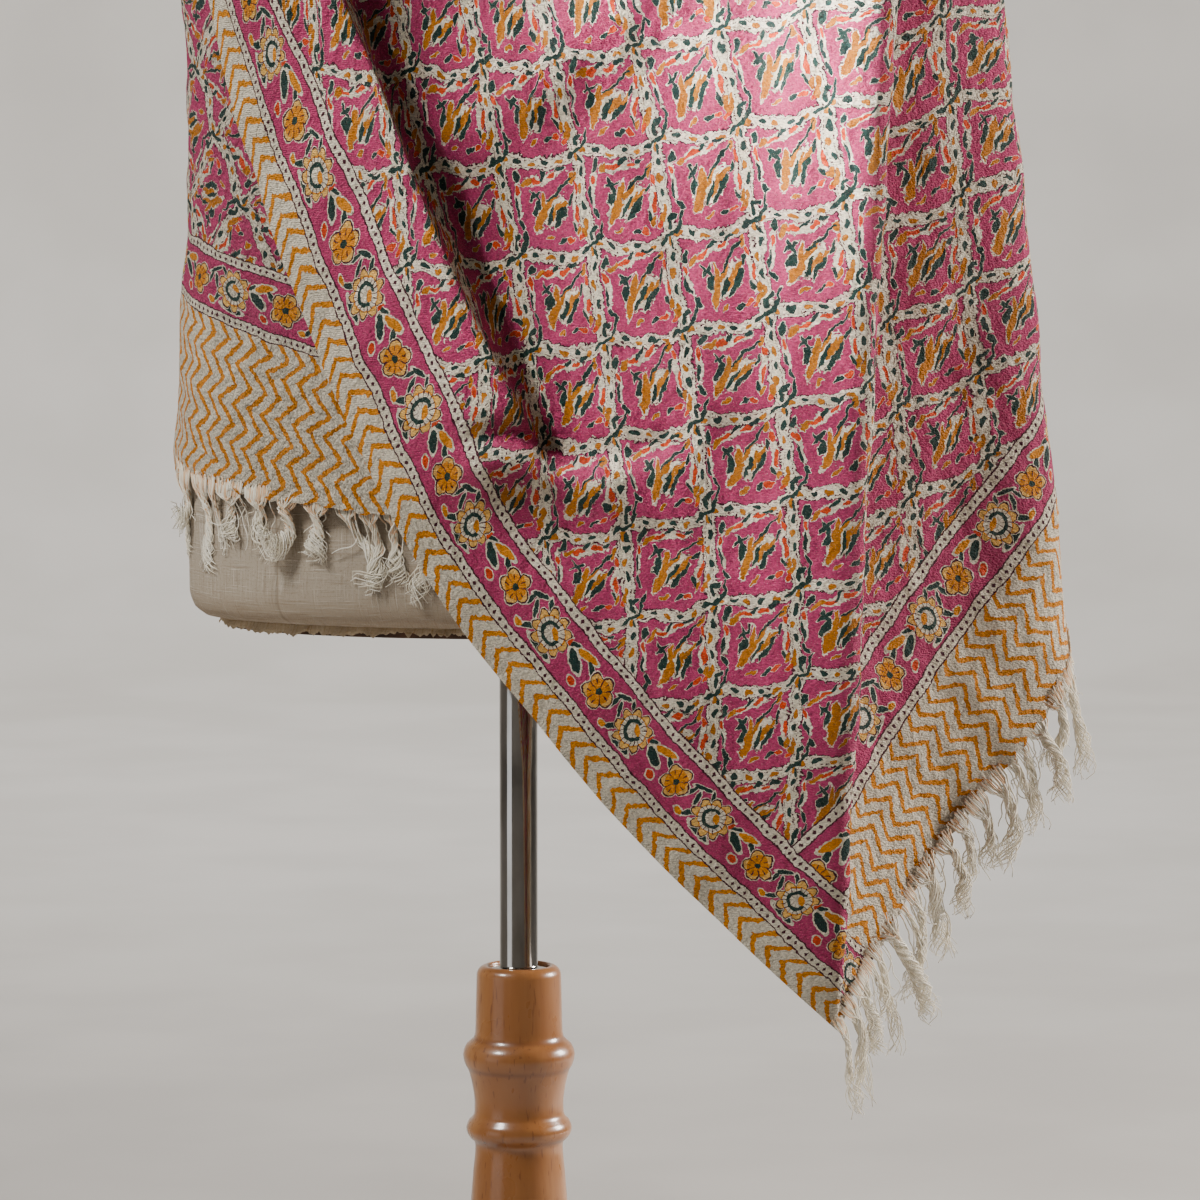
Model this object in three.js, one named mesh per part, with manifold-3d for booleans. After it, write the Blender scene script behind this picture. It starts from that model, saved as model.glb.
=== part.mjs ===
// A printed wool shawl draped round a dress form on a turned wooden stand.
// Millimetres, +Z up, origin on the floor under the pole, the front faces -Y.

import * as THREE from "three";
import { mergeVertices } from "three/addons/utils/BufferGeometryUtils.js";
import Module from "manifold-3d";

const wasm = await Module();
wasm.setup();

// Driving dimensions

const GAP = 0.3;
const CLOTH = { length: 2000, width: 700, thick: 2 };
const TOP = 1100;
const UNDER_LIFT = { chest: 8, shoulder: 13 };
const NECK = { radius: 60, ring: 102, top: 1400 };
const BASE = { radius: 190, height: 32 };
const COLUMN = { top: 521 };
const POLE = { radius: 11.5, top: 719 };
const FLANGE = { radius: 25, height: 7 };
const BOARD = { thick: 7, inset: 14 };
const CAP = { radius: 56, height: 16 };
const STRIP = { width: 4, thick: 2 };
const LOCKS = { count: 48, radius: 1.9, tip: 0.8, steps: 2, sides: 3 };

// Half width and half depth of the form at each height
const FORM = [
  { z: 735, a: 188, b: 114 },
  { z: 740, a: 194, b: 120 },
  { z: 750, a: 197, b: 123 },
  { z: 860, a: 196, b: 124 },
  { z: 960, a: 190, b: 118 },
  { z: 1060, a: 188, b: 114 },
  { z: 1100, a: 190, b: 113 },
];

// Share of the way in from the chest to the neck at each height
const SHOULDER = [
  { z: 1100, share: 0 },
  { z: 1170, share: 0.02 },
  { z: 1220, share: 0.1 },
  { z: 1252, share: 0.28 },
  { z: 1278, share: 0.52 },
  { z: 1300, share: 0.76 },
  { z: 1322, share: 0.92 },
  { z: 1345, share: 1 },
  { z: 1400, share: 1.03 },
];

// Fold lines of the outer layer, each a place [x, y] at heights 1100, 800 and 500.
// tuck is how far the line is drawn in under the shoulder.
const FOLD_LINES = [
  { name: "back", top: [0, 146], mid: [0, 152], low: [0, 152], tuck: 0 },
  { name: "back left", top: [-135, 116], mid: [-135, 122], low: [-135, 122], tuck: 0 },
  { name: "side left", top: [-212, 8], mid: [-214, 8], low: [-214, 8], tuck: 0 },
  { name: "cheek", top: [-182, -84], mid: [-184, -84], low: [-184, -84], tuck: 0 },
  { name: "front left", top: [-100, -128], mid: [-100, -131], low: [-100, -131], tuck: 0 },
  { name: "front", top: [10, -141], mid: [10, -145], low: [10, -146], tuck: 0 },
  { name: "front right", top: [125, -146], mid: [115, -152], low: [110, -154], tuck: 0 },
  { name: "ridge", top: [214, -156], mid: [198, -160], low: [186, -160], tuck: 0.03 },
  { name: "valley", top: [207, -88], mid: [190, -96], low: [187, -162], tuck: 0.04 },
  { name: "panel", top: [252, -44], mid: [250, -46], low: [230, -118], tuck: 0.07 },
  { name: "right side", top: [290, 6], mid: [322, 6], low: [352, -40], tuck: 0.1 },
  { name: "back right", top: [246, 104], mid: [270, 112], low: [290, 70], tuck: 0.09 },
  { name: "back mid", top: [128, 142], mid: [150, 168], low: [160, 150], tuck: 0.04 },
];
const LINES = FOLD_LINES.length;
const RIDGE = FOLD_LINES.findIndex((line) => line.name === "ridge");

// Creases raised on the front, from one point [x, z] to another.
// left and right are the half widths, start and end the strength at each end.
// A slope runs evenly down to the left edge, in place of a rounded side.
const CREASES = [
  { name: "roll", from: [-119, 1100], to: [14, 838], bow: -6, left: 104, right: 13,
    height: 34, start: 1, end: 0.1, lean: 0.45, slope: true },
  { name: "valley", from: [-66, 1100], to: [34, 836], bow: -6, left: 16, right: 40,
    height: -6, start: 0.9, end: 0.9, lean: 0 },
  { name: "swag", from: [60, 1104], to: [-70, 1006], bow: 6, left: 36, right: 26,
    height: 11, start: 1, end: 0.35, lean: 0 },
  { name: "lip", from: [-14, 836], to: [62, 822], bow: -4, left: 10, right: 16,
    height: 9, start: 0.2, end: 0.6, lean: 0 },
  { name: "dent", from: [72, 916], to: [120, 858], bow: 0, left: 12, right: 14,
    height: 6, start: 0.3, end: 0.8, lean: 0 },
];

// The long edge that crosses the front, from the low corner up to the left side
const EDGE = [
  { z: 507, x: 186 },
  { z: 560, x: 128 },
  { z: 632, x: 56 },
  { z: 690, x: 8 },
  { z: 741, x: -33 },
  { z: 800, x: -70 },
  { z: 850, x: -96 },
  { z: 896, x: -116 },
  { z: 945, x: -134 },
  { z: 992, x: -149 },
  { z: 1045, x: -165 },
  { z: 1098, x: -178.5 },
];
const EDGE_RISE = 50;

// Slope in degrees of the lines across the cloth, by the length from the front end
const SLOPE = [
  { u: 0, deg: 43 },
  { u: 100, deg: 43.5 },
  { u: 300, deg: 48 },
  { u: 600, deg: 53 },
  { u: 800, deg: 52 },
  { u: 1000, deg: 46 },
];

// How a flat rise above the chest is taken up over the shoulder
const RISE = [
  { flat: 0, up: 0 },
  { flat: 90, up: 86 },
  { flat: 200, up: 150 },
  { flat: 300, up: 188 },
  { flat: 420, up: 218 },
  { flat: 560, up: 240 },
  { flat: 720, up: 256 },
];

// Way of the cloth round the back of the neck: turn in degrees from the front and height
// of its lower edge, then of its upper edge
const PASSAGE = [
  { u: 800, lowTurn: -66, lowZ: 1190, highTurn: 40, highZ: 1344 },
  { u: 880, lowTurn: -88, lowZ: 1176, highTurn: -3, highZ: 1350 },
  { u: 960, lowTurn: -112, lowZ: 1135, highTurn: -45, highZ: 1354 },
  { u: 1040, lowTurn: -135, lowZ: 1088, highTurn: -87, highZ: 1356 },
  { u: 1120, lowTurn: -158, lowZ: 1040, highTurn: -128, highZ: 1356 },
  { u: 1240, lowTurn: -204, lowZ: 1012, highTurn: -205, highZ: 1356 },
  { u: 1360, lowTurn: -240, lowZ: 1062, highTurn: -300, highZ: 1352 },
  { u: 1480, lowTurn: -266, lowZ: 1130, highTurn: -400, highZ: 1338 },
  { u: 1600, lowTurn: -282, lowZ: 1122, highTurn: -470, highZ: 1262 },
  { u: 1720, lowTurn: -288, lowZ: 1035, highTurn: -534, highZ: 1150 },
];

// The under end: its lower corner along the body and up, its slant and the slope of the
// lines across it in degrees
const UNDER_END = { s: 145, z: 732, slant: 9.7, slope: 15 };

// The two ends aren't cut square: where each stands along the cloth
const FRONT_CUT = [
  { v: 0, u: 0 },
  { v: 100, u: -5 },
  { v: 200, u: -11 },
  { v: 300, u: -16 },
  { v: 400, u: -21 },
  { v: 500, u: -24 },
  { v: 700, u: -24 },
];
const UNDER_CUT = [
  { v: 0, u: 1980 },
  { v: 150, u: 1982 },
  { v: 200, u: 1986 },
  { v: 278, u: 1997 },
  { v: 390, u: 2015 },
  { v: 450, u: 2020 },
  { v: 700, u: 2022 },
];

// Share of the outer layer, and height of the gathers, along the length
const LAYER = [
  { u: 0, outer: 1 },
  { u: 900, outer: 1 },
  { u: 1050, outer: 0.95 },
  { u: 1200, outer: 0.62 },
  { u: 1340, outer: 0.3 },
  { u: 1450, outer: 0 },
  { u: 2000, outer: 0 },
];
const GATHER = [
  { u: 620, height: 0 },
  { u: 860, height: 12 },
  { u: 1000, height: 19 },
  { u: 1200, height: 22 },
  { u: 1320, height: 11 },
  { u: 1450, height: 7 },
  { u: 1560, height: 4 },
  { u: 1650, height: 0 },
];
const GATHER_PITCH = 116;

// Spacing of the mesh lines along and across the cloth
const ALONG = [
  { to: 640, steps: 27 },
  { to: 1480, steps: 24 },
  { to: 1700, steps: 9 },
  { to: 2000, steps: 5 },
];
const ACROSS = [
  { to: 60, steps: 3 },
  { to: 190, steps: 7 },
  { to: 700, steps: 19 },
];

// Turned outline of the column: radius at each height below its top
const TURNING = [
  { drop: 489, r: 44 },
  { drop: 470, r: 46 },
  { drop: 452, r: 40 },
  { drop: 440, r: 33 },
  { drop: 300, r: 31 },
  { drop: 160, r: 30 },
  { drop: 128, r: 28 },
  { drop: 110, r: 26.5 },
  { drop: 106, r: 29 },
  { drop: 101, r: 32 },
  { drop: 95, r: 32 },
  { drop: 90, r: 29 },
  { drop: 84, r: 27 },
  { drop: 74, r: 28 },
  { drop: 64, r: 32 },
  { drop: 56, r: 34 },
  { drop: 50, r: 33.5 },
  { drop: 45, r: 30 },
  { drop: 41, r: 26.5 },
  { drop: 20, r: 26 },
  { drop: 6, r: 25.5 },
  { drop: 1.5, r: 23.5 },
  { drop: 0, r: 20 },
];

const MATERIALS = {
  wool: new THREE.MeshStandardMaterial({ color: 0xcd5f96, roughness: 0.9, metalness: 0 }),
  yarn: new THREE.MeshStandardMaterial({ color: 0xe6dcc6, roughness: 0.9, metalness: 0 }),
  linen: new THREE.MeshStandardMaterial({ color: 0xc8beb2, roughness: 0.9, metalness: 0 }),
  board: new THREE.MeshStandardMaterial({ color: 0x4a3b30, roughness: 0.8, metalness: 0 }),
  beech: new THREE.MeshStandardMaterial({ color: 0xbe7d4b, roughness: 0.3, metalness: 0 }),
  chrome: new THREE.MeshStandardMaterial({ color: 0xc8ccd0, roughness: 0.12, metalness: 1 }),
};

// Curves through tables

const radians = (deg) => (deg * Math.PI) / 180;
const degrees = (rad) => (rad * 180) / Math.PI;
const clamp = (x, low, high) => Math.min(Math.max(x, low), high);
const mix = (a, b, t) => a * (1 - t) + b * t;

function ease(t) {
  const c = clamp(t, 0, 1);
  return c * c * (3 - 2 * c);
}

// Smooth curve through a table's rows that doesn't overshoot them
function through(rows, key, value, x) {
  const last = rows.length - 1;
  const at = clamp(x, rows[0][key], rows[last][key]);
  const step = (k) => (rows[k + 1][value] - rows[k][value]) / (rows[k + 1][key] - rows[k][key]);
  const slope = (k) => {
    if (k === 0) return step(0);
    if (k === last) return step(last - 1);
    const before = step(k - 1);
    const after = step(k);
    return before * after <= 0 ? 0 : (2 * before * after) / (before + after);
  };
  let i = 0;
  while (i < last - 1 && at > rows[i + 1][key]) i += 1;
  const width = rows[i + 1][key] - rows[i][key];
  const t = (at - rows[i][key]) / width;
  const t2 = t * t;
  const t3 = t2 * t;
  return (2 * t3 - 3 * t2 + 1) * rows[i][value] + (t3 - 2 * t2 + t) * width * slope(i)
    + (3 * t2 - 2 * t3) * rows[i + 1][value] + (t3 - t2) * width * slope(i + 1);
}

// Straight interpolation in two plain lists of rising x
function between(xs, ys, x) {
  const last = xs.length - 1;
  if (x <= xs[0]) return ys[0];
  if (x >= xs[last]) return ys[last];
  let low = 0;
  let high = last;
  while (high - low > 1) {
    const half = (low + high) >> 1;
    if (xs[half] <= x) low = half;
    else high = half;
  }
  return mix(ys[low], ys[high], (x - xs[low]) / (xs[high] - xs[low]));
}

// The form under the cloth

const inward = (z) => through(SHOULDER, "z", "share", z);

function formRadius(turn, z, grow) {
  const t = radians(turn);
  const low = clamp(z, FORM[0].z, TOP);
  const a = through(FORM, "z", "a", low) + grow;
  const b = through(FORM, "z", "b", low) + grow;
  const round = (a * b) / Math.hypot(b * Math.sin(t), a * Math.cos(t));
  return mix(round, NECK.radius + grow, inward(z));
}

// Sections of the outer layer. q counts fold lines from the back, by the left, and wraps.

const LOW = 430;

function lineAt(k, z) {
  const line = FOLD_LINES[((k % LINES) + LINES) % LINES];
  const t = (clamp(z, LOW, TOP) - 800) / 300;
  return [0, 1].map((axis) => line.mid[axis] + (t * (line.top[axis] - line.low[axis])) / 2
    + t * t * ((line.top[axis] + line.low[axis]) / 2 - line.mid[axis]));
}

function smoothSection(q, z) {
  const i = Math.floor(q);
  const t = q - i;
  const p = [-1, 0, 1, 2].map((k) => lineAt(i + k, z));
  const c = [0, 1, 2].map((k) => Math.sqrt(Math.hypot(p[k + 1][0] - p[k][0], p[k + 1][1] - p[k][1])));
  return [0, 1].map((axis) => {
    const [p0, p1, p2, p3] = p.map((point) => point[axis]);
    const m1 = ((p1 - p0) / c[0] - (p2 - p0) / (c[0] + c[1]) + (p2 - p1) / c[1]) * c[1];
    const m2 = ((p2 - p1) / c[1] - (p3 - p1) / (c[1] + c[2]) + (p3 - p2) / c[2]) * c[1];
    const t2 = t * t;
    const t3 = t2 * t;
    return (2 * t3 - 3 * t2 + 1) * p1 + (t3 - 2 * t2 + t) * m1
      + (3 * t2 - 2 * t3) * p2 + (t3 - t2) * m2;
  });
}

function creaseAt(x, z) {
  let forward = 0;
  let sideways = 0;
  for (const crease of CREASES) {
    const dx = crease.to[0] - crease.from[0];
    const dz = crease.to[1] - crease.from[1];
    const length = Math.hypot(dx, dz);
    const ux = dx / length;
    const uz = dz / length;
    const t = ((x - crease.from[0]) * ux + (z - crease.from[1]) * uz) / length;
    const on = clamp(t, 0, 1);
    const bend = crease.bow * 4 * on * (1 - on);
    const off = (z - crease.from[1]) * ux - (x - crease.from[0]) * uz - bend;
    const reach = off > 0 ? crease.right : crease.left;
    const ends = ease((1.15 - t) / 0.3) * ease((t + 0.45) / 0.3);
    const side = crease.slope && off < 0
      ? ease(1 + off / reach)
      : Math.exp(-((off / reach) ** 2));
    const height = crease.height * mix(crease.start, crease.end, on) * ends * side;
    forward += height;
    sideways += crease.lean * height;
  }
  return [forward, sideways];
}

function outerSection(q, z) {
  const [x, y] = smoothSection(q, z);
  const [forward, sideways] = creaseAt(x, z);
  const front = ease((-y - 20) / 60);
  return [x + sideways * front, y - forward * front];
}

// Length round a section at each of a number of heights, zero at a chosen line
function girths(place, low, high, count, zeroAt) {
  const STEPS = 24;
  const qs = Array.from({ length: LINES * STEPS + 1 }, (_, k) => k / STEPS);
  const rows = Array.from({ length: count }, (_, row) => {
    const z = mix(low, high, row / (count - 1));
    const points = qs.map((q) => place(q, z));
    const lengths = [0];
    for (let k = 1; k < points.length; k += 1) {
      const run = Math.hypot(points[k][0] - points[k - 1][0], points[k][1] - points[k - 1][1]);
      lengths.push(lengths[k - 1] + run);
    }
    const zero = between(qs, lengths, zeroAt);
    return lengths.map((s) => s - zero);
  });
  const level = (z) => (clamp(z, low, high) - low) / ((high - low) / (count - 1));
  const onRow = (row, s) => {
    const round = row[row.length - 1] - row[0];
    const turns = Math.floor((s - row[0]) / round);
    return between(row, qs, s - turns * round) + turns * LINES;
  };
  const offRow = (row, q) => {
    const turns = Math.floor(q / LINES);
    return between(qs, row, q - turns * LINES) + turns * (row[row.length - 1] - row[0]);
  };
  const blend = (z, read) => {
    const f = level(z);
    const i = Math.min(Math.floor(f), count - 2);
    return mix(read(rows[i]), read(rows[i + 1]), f - i);
  };
  return {
    toLine: (s, z) => blend(z, (row) => onRow(row, s)),
    toLength: (q, z) => blend(z, (row) => offRow(row, q)),
  };
}

// Turn in degrees from the front, by fold line

const TURNS = FOLD_LINES.map((line) => degrees(Math.atan2(line.top[0], -line.top[1])));
TURNS[0] = -180;
TURNS.push(180);
const TUCKS = [...FOLD_LINES.map((line) => line.tuck), FOLD_LINES[0].tuck];
const WHOLE = TURNS.map((_, k) => k);

function lineToTurn(q) {
  const rounds = Math.floor(q / LINES);
  return between(WHOLE, TURNS, q - rounds * LINES) + rounds * 360;
}

function turnToLine(turn) {
  const rounds = Math.floor((turn + 180) / 360);
  return between(TURNS, WHOLE, turn - rounds * 360) + rounds * LINES;
}

function outerPlace(q, z) {
  const [x, y] = outerSection(q, Math.min(z, TOP));
  const tuck = between(WHOLE, TUCKS, q - Math.floor(q / LINES) * LINES);
  const pull = Math.sin(Math.PI * clamp((z - TOP) / 245, 0, 1)) * 1.6 * tuck;
  const w = clamp(inward(z) + pull, 0, 1.05);
  const t = radians(lineToTurn(q));
  return [mix(x, NECK.ring * Math.sin(t), w), mix(y, -NECK.ring * Math.cos(t), w)];
}

function underPlace(q, z) {
  const turn = lineToTurn(q);
  const lift = mix(UNDER_LIFT.chest, UNDER_LIFT.shoulder, ease((z - 1140) / 80));
  const r = formRadius(turn, z, lift);
  return [r * Math.sin(radians(turn)), -r * Math.cos(radians(turn))];
}

const outerGirth = girths(outerSection, LOW, TOP, 68, RIDGE);
const underGirth = girths(underPlace, FORM[0].z, TOP, 20, turnToLine(0));

// The long edge that shows, by its length from the low corner

function edgeCurve() {
  const COUNT = 60;
  const points = [];
  for (let k = 0; k < COUNT; k += 1) {
    const z = mix(EDGE[0].z, EDGE[EDGE.length - 1].z, k / (COUNT - 1));
    const x = through(EDGE, "z", "x", z);
    let q = 2;
    while (q < RIDGE && outerSection(q + 0.01, z)[0] < x) q += 0.01;
    const near = outerSection(q, z)[0];
    const next = outerSection(q + 0.01, z)[0];
    const exact = Math.min(q + 0.01 * clamp((x - near) / (next - near), 0, 1), RIDGE);
    const s = outerGirth.toLength(exact, z);
    const before = points[k - 1];
    const u = before ? before.u + Math.hypot(s - before.s, z - before.z) : 0;
    points.push({ u, s, z });
  }
  return points;
}

const EDGE_POINTS = edgeCurve();
const EDGE_U = EDGE_POINTS.map((point) => point.u);
const EDGE_S = EDGE_POINTS.map((point) => point.s);
const EDGE_Z = EDGE_POINTS.map((point) => point.z);

// Where a point of the flat cloth lies: u along from the front end, v across from the
// edge that shows. Each gives [fold line, height].

const rise = (z) => (z < TOP ? z : TOP + through(RISE, "flat", "up", z - TOP));

function frontMap(u, v) {
  const end = EDGE_POINTS.length - 1;
  const past = u - EDGE_U[end];
  const before = Math.min(u, 0);
  const slope = radians(through(SLOPE, "u", "deg", u));
  let s = between(EDGE_U, EDGE_S, u) - before * Math.sin(slope);
  let z = between(EDGE_U, EDGE_Z, u) + before * Math.cos(slope);
  if (past > 0) {
    s -= past * Math.cos(radians(EDGE_RISE));
    z += past * Math.sin(radians(EDGE_RISE));
  }
  s += v * Math.cos(slope);
  z += v * Math.sin(slope);
  return [outerGirth.toLine(s, Math.min(z, TOP)), rise(z)];
}

function underMap(u, v) {
  const slant = radians(UNDER_END.slant);
  const slope = radians(UNDER_END.slope);
  const back = CLOTH.length - u;
  const s = UNDER_END.s + back * Math.sin(slant) - v * Math.cos(slope);
  const z = UNDER_END.z + back * Math.cos(slant) + v * Math.sin(slope);
  return [underGirth.toLine(s, Math.min(z, TOP)) - LINES, rise(z)];
}

function passageMap(u, v) {
  const f = v / CLOTH.width;
  const turn = mix(through(PASSAGE, "u", "lowTurn", u), through(PASSAGE, "u", "highTurn", u), f);
  const z = mix(through(PASSAGE, "u", "lowZ", u), through(PASSAGE, "u", "highZ", u), f);
  return [turnToLine(turn), z];
}

function clothMap(u, v) {
  const toPassage = ease((u - 720) / 160);
  const toUnder = ease((u - 1500) / 220);
  const front = frontMap(Math.min(u, 1100), v);
  const passage = passageMap(u, v);
  const under = underMap(Math.max(u, 1400), v);
  return [0, 1].map((k) => mix(mix(front[k], passage[k], toPassage), under[k], toUnder));
}

function smoothCloth(u, v) {
  const [q, z] = clothMap(u, v);
  const outer = through(LAYER, "u", "outer", u);
  const [xo, yo] = outerPlace(q, z);
  const [xu, yu] = underPlace(q, z);
  return new THREE.Vector3(mix(xu, xo, outer), mix(yu, yo, outer), z);
}

function outwardNormal(place, u, v, uStep = 4, vStep = 4) {
  const along = place(u + uStep, v).sub(place(u - uStep, v));
  const across = place(u, v + vStep).sub(place(u, v - vStep));
  return along.cross(across).normalize();
}

const CENTRE = new THREE.Vector3(0, 0, 1200);

// The cloth's middle surface, with the gathers round the neck
function clothPlace(u, v) {
  const point = smoothCloth(u, v);
  const height = through(GATHER, "u", "height", u);
  if (height <= 0) return point;
  const normal = outwardNormal(smoothCloth, u, v);
  const away = point.clone().setZ(CENTRE.z + 60).sub(CENTRE);
  const side = Math.sign(normal.dot(away));
  const wander = 14 * Math.sin(u / 130);
  const wave = 0.5 - 0.5 * Math.cos((2 * Math.PI * (v + wander)) / GATHER_PITCH);
  const edges = ease((v + 20) / 100) * ease((CLOTH.width + 20 - v) / 100);
  return point.addScaledVector(normal, side * height * wave * edges);
}

// The cloth by shares of its cut length, from the front end to the under end
const frontCut = (v) => through(FRONT_CUT, "v", "u", v);
const underCut = (v) => through(UNDER_CUT, "v", "u", v);
const cutPlace = (share, v) => clothPlace(mix(frontCut(v), underCut(v), share), v);

// Mesh building

function closedGeometry(points, triangles) {
  const geometry = new THREE.BufferGeometry();
  const flat = points.flatMap((point) => [point.x, point.y, point.z]);
  geometry.setAttribute("position", new THREE.Float32BufferAttribute(flat, 3));
  geometry.setIndex(triangles);
  return geometry;
}

function spaced(rows) {
  const marks = [0];
  for (const row of rows) {
    const from = marks[marks.length - 1];
    for (let k = 1; k <= row.steps; k += 1) marks.push(mix(from, row.to, k / row.steps));
  }
  return marks;
}

// A closed shell of the given thickness about a surface, whose step sizes are for slopes
function shell(place, us, vs, thick, uStep = 4) {
  const points = [];
  const half = thick / 2;
  for (const side of [half, -half]) {
    for (const u of us) {
      for (const v of vs) {
        points.push(place(u, v).addScaledVector(outwardNormal(place, u, v, uStep), side));
      }
    }
  }
  const sheet = us.length * vs.length;
  const at = (layer, i, j) => layer * sheet + i * vs.length + j;
  const triangles = [];
  for (let i = 0; i + 1 < us.length; i += 1) {
    for (let j = 0; j + 1 < vs.length; j += 1) {
      const corners = (layer) => [at(layer, i, j), at(layer, i + 1, j),
        at(layer, i + 1, j + 1), at(layer, i, j + 1)];
      const [a, b, c, d] = corners(0);
      triangles.push(a, b, c, a, c, d);
      const [e, f, g, h] = corners(1);
      triangles.push(e, g, f, e, h, g);
    }
  }
  const wall = (i0, j0, i1, j1) => {
    triangles.push(at(0, i0, j0), at(1, i0, j0), at(1, i1, j1));
    triangles.push(at(0, i0, j0), at(1, i1, j1), at(0, i1, j1));
  };
  const iLast = us.length - 1;
  const jLast = vs.length - 1;
  for (let i = 0; i < iLast; i += 1) {
    wall(i, 0, i + 1, 0);
    wall(i + 1, jLast, i, jLast);
  }
  for (let j = 0; j < jLast; j += 1) {
    wall(iLast, j, iLast, j + 1);
    wall(0, j + 1, 0, j);
  }
  return closedGeometry(points, triangles);
}

function toManifold(geometry) {
  const bare = geometry.clone();
  bare.deleteAttribute("normal");
  bare.deleteAttribute("uv");
  const merged = mergeVertices(bare, 1e-4);
  return new wasm.Manifold(new wasm.Mesh({
    numProp: 3,
    vertProperties: Float32Array.from(merged.attributes.position.array),
    triVerts: Uint32Array.from(merged.index.array),
  }));
}

function fromManifold(solid) {
  const mesh = solid.getMesh();
  const geometry = new THREE.BufferGeometry();
  geometry.setAttribute("position", new THREE.Float32BufferAttribute(mesh.vertProperties, 3));
  geometry.setIndex(Array.from(mesh.triVerts));
  return geometry;
}

// The shawl

function shawlGeometry() {
  const shares = spaced(ALONG).map((u) => u / CLOTH.length);
  return shell(cutPlace, shares, spaced(ACROSS), CLOTH.thick, 4 / CLOTH.length);
}

// Fringes: a narrow strip beyond the cloth's end, with locks of yarn that hang from it.
// away is -1 at the front end and 1 at the under end.

function endPlace(cut, away) {
  return (w, v) => {
    const edge = clothPlace(cut(v), v);
    const inside = clothPlace(cut(v) - away * 6, v);
    const out = edge.clone().sub(inside).normalize();
    return edge.addScaledVector(out, w);
  };
}

// The same strip with straight runs between the mesh lines
function straightRuns(place, marks) {
  return (w, v) => {
    let i = 0;
    while (i < marks.length - 2 && v > marks[i + 1]) i += 1;
    const t = (v - marks[i]) / (marks[i + 1] - marks[i]);
    return place(w, marks[i]).lerp(place(w, marks[i + 1]), t);
  };
}

function lockGeometry(path) {
  const points = [];
  const triangles = [];
  const { sides, steps, radius, tip } = LOCKS;
  for (let k = 0; k <= steps; k += 1) {
    const ahead = path[Math.min(k + 1, steps)].clone().sub(path[Math.max(k - 1, 0)]).normalize();
    const across = new THREE.Vector3(0, 0, 1).cross(ahead);
    if (across.length() < 0.1) across.set(1, 0, 0);
    across.normalize();
    const up = ahead.clone().cross(across);
    const r = mix(radius, tip, k / steps);
    for (let side = 0; side < sides; side += 1) {
      const angle = (2 * Math.PI * side) / sides;
      points.push(path[k].clone()
        .addScaledVector(across, r * Math.cos(angle))
        .addScaledVector(up, r * Math.sin(angle)));
    }
  }
  for (let k = 0; k < steps; k += 1) {
    for (let side = 0; side < sides; side += 1) {
      const a = k * sides + side;
      const b = k * sides + ((side + 1) % sides);
      triangles.push(a, b, b + sides, a, b + sides, a + sides);
    }
  }
  for (let side = 1; side + 1 < sides; side += 1) {
    const end = steps * sides;
    triangles.push(0, side + 1, side, end, end + side, end + side + 1);
  }
  return closedGeometry(points, triangles);
}

function fringeGeometry(cut, away, hang) {
  const smooth = endPlace(cut, away);
  const inner = GAP;
  const outer = GAP + STRIP.width;
  const marks = spaced(ACROSS);
  const edge = straightRuns(smooth, marks);
  const solids = [toManifold(shell(smooth, [inner, outer], marks, STRIP.thick))];
  for (let k = 0; k < LOCKS.count; k += 1) {
    const uneven = Math.sin(k * 2.4) * 0.5 + Math.sin(k * 5.3 + 1) * 0.5;
    const v = ((k + 0.5 + 0.18 * uneven) / LOCKS.count) * CLOTH.width;
    const root = edge(inner + STRIP.width * 0.55, v);
    const out = edge(outer, v).sub(edge(inner, v)).normalize();
    const length = hang.length * (1 + hang.uneven * uneven);
    solids.push(toManifold(lockGeometry(hang.path(root, out, length, uneven))));
  }
  return fromManifold(wasm.Manifold.union(solids));
}

// A lock leaves the edge along the cloth, then turns down
function hangingPath(root, out, length, uneven, keep) {
  const path = [root];
  for (let k = 1; k <= LOCKS.steps; k += 1) {
    const down = new THREE.Vector3(0.06 * uneven, 0.04 * uneven, -1);
    const heading = out.clone().multiplyScalar(keep / k).add(down).normalize();
    path.push(path[k - 1].clone().addScaledVector(heading, length / LOCKS.steps));
  }
  return path;
}

const FRONT_HANG = {
  length: 54,
  uneven: 0.25,
  path: (root, out, length, uneven) => hangingPath(root, out, length, uneven, 0.7),
};
const UNDER_HANG = {
  length: 50,
  uneven: 0.25,
  path: (root, out, length, uneven) => hangingPath(root, out, length, uneven, 0.15),
};

// The dress form and its stand

function loft(rings) {
  const points = rings.flatMap((ring) => ring);
  const round = rings[0].length;
  const triangles = [];
  for (let i = 0; i + 1 < rings.length; i += 1) {
    for (let j = 0; j < round; j += 1) {
      const a = i * round + j;
      const b = i * round + ((j + 1) % round);
      triangles.push(a, b, b + round, a, b + round, a + round);
    }
  }
  const middle = (ring) => ring.reduce((sum, point) => sum.add(point), new THREE.Vector3())
    .divideScalar(ring.length);
  const low = points.push(middle(rings[0])) - 1;
  const high = points.push(middle(rings[rings.length - 1])) - 1;
  const top = (rings.length - 1) * round;
  for (let j = 0; j < round; j += 1) {
    const next = (j + 1) % round;
    triangles.push(low, next, j, high, top + j, top + next);
  }
  return closedGeometry(points, triangles);
}

function formRing(z, grow) {
  const AROUND = 36;
  return Array.from({ length: AROUND }, (_, k) => {
    const turn = (360 * k) / AROUND;
    const r = formRadius(turn, z, grow);
    return new THREE.Vector3(r * Math.sin(radians(turn)), -r * Math.cos(radians(turn)), z);
  });
}

function torsoGeometry() {
  const heights = [735, 740, 750, 860, 960, 1060, 1130, 1180, 1215, 1240, 1260, 1280, 1300, 1322,
    1345, NECK.top];
  return loft(heights.map((z) => formRing(z, 0)));
}

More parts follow.
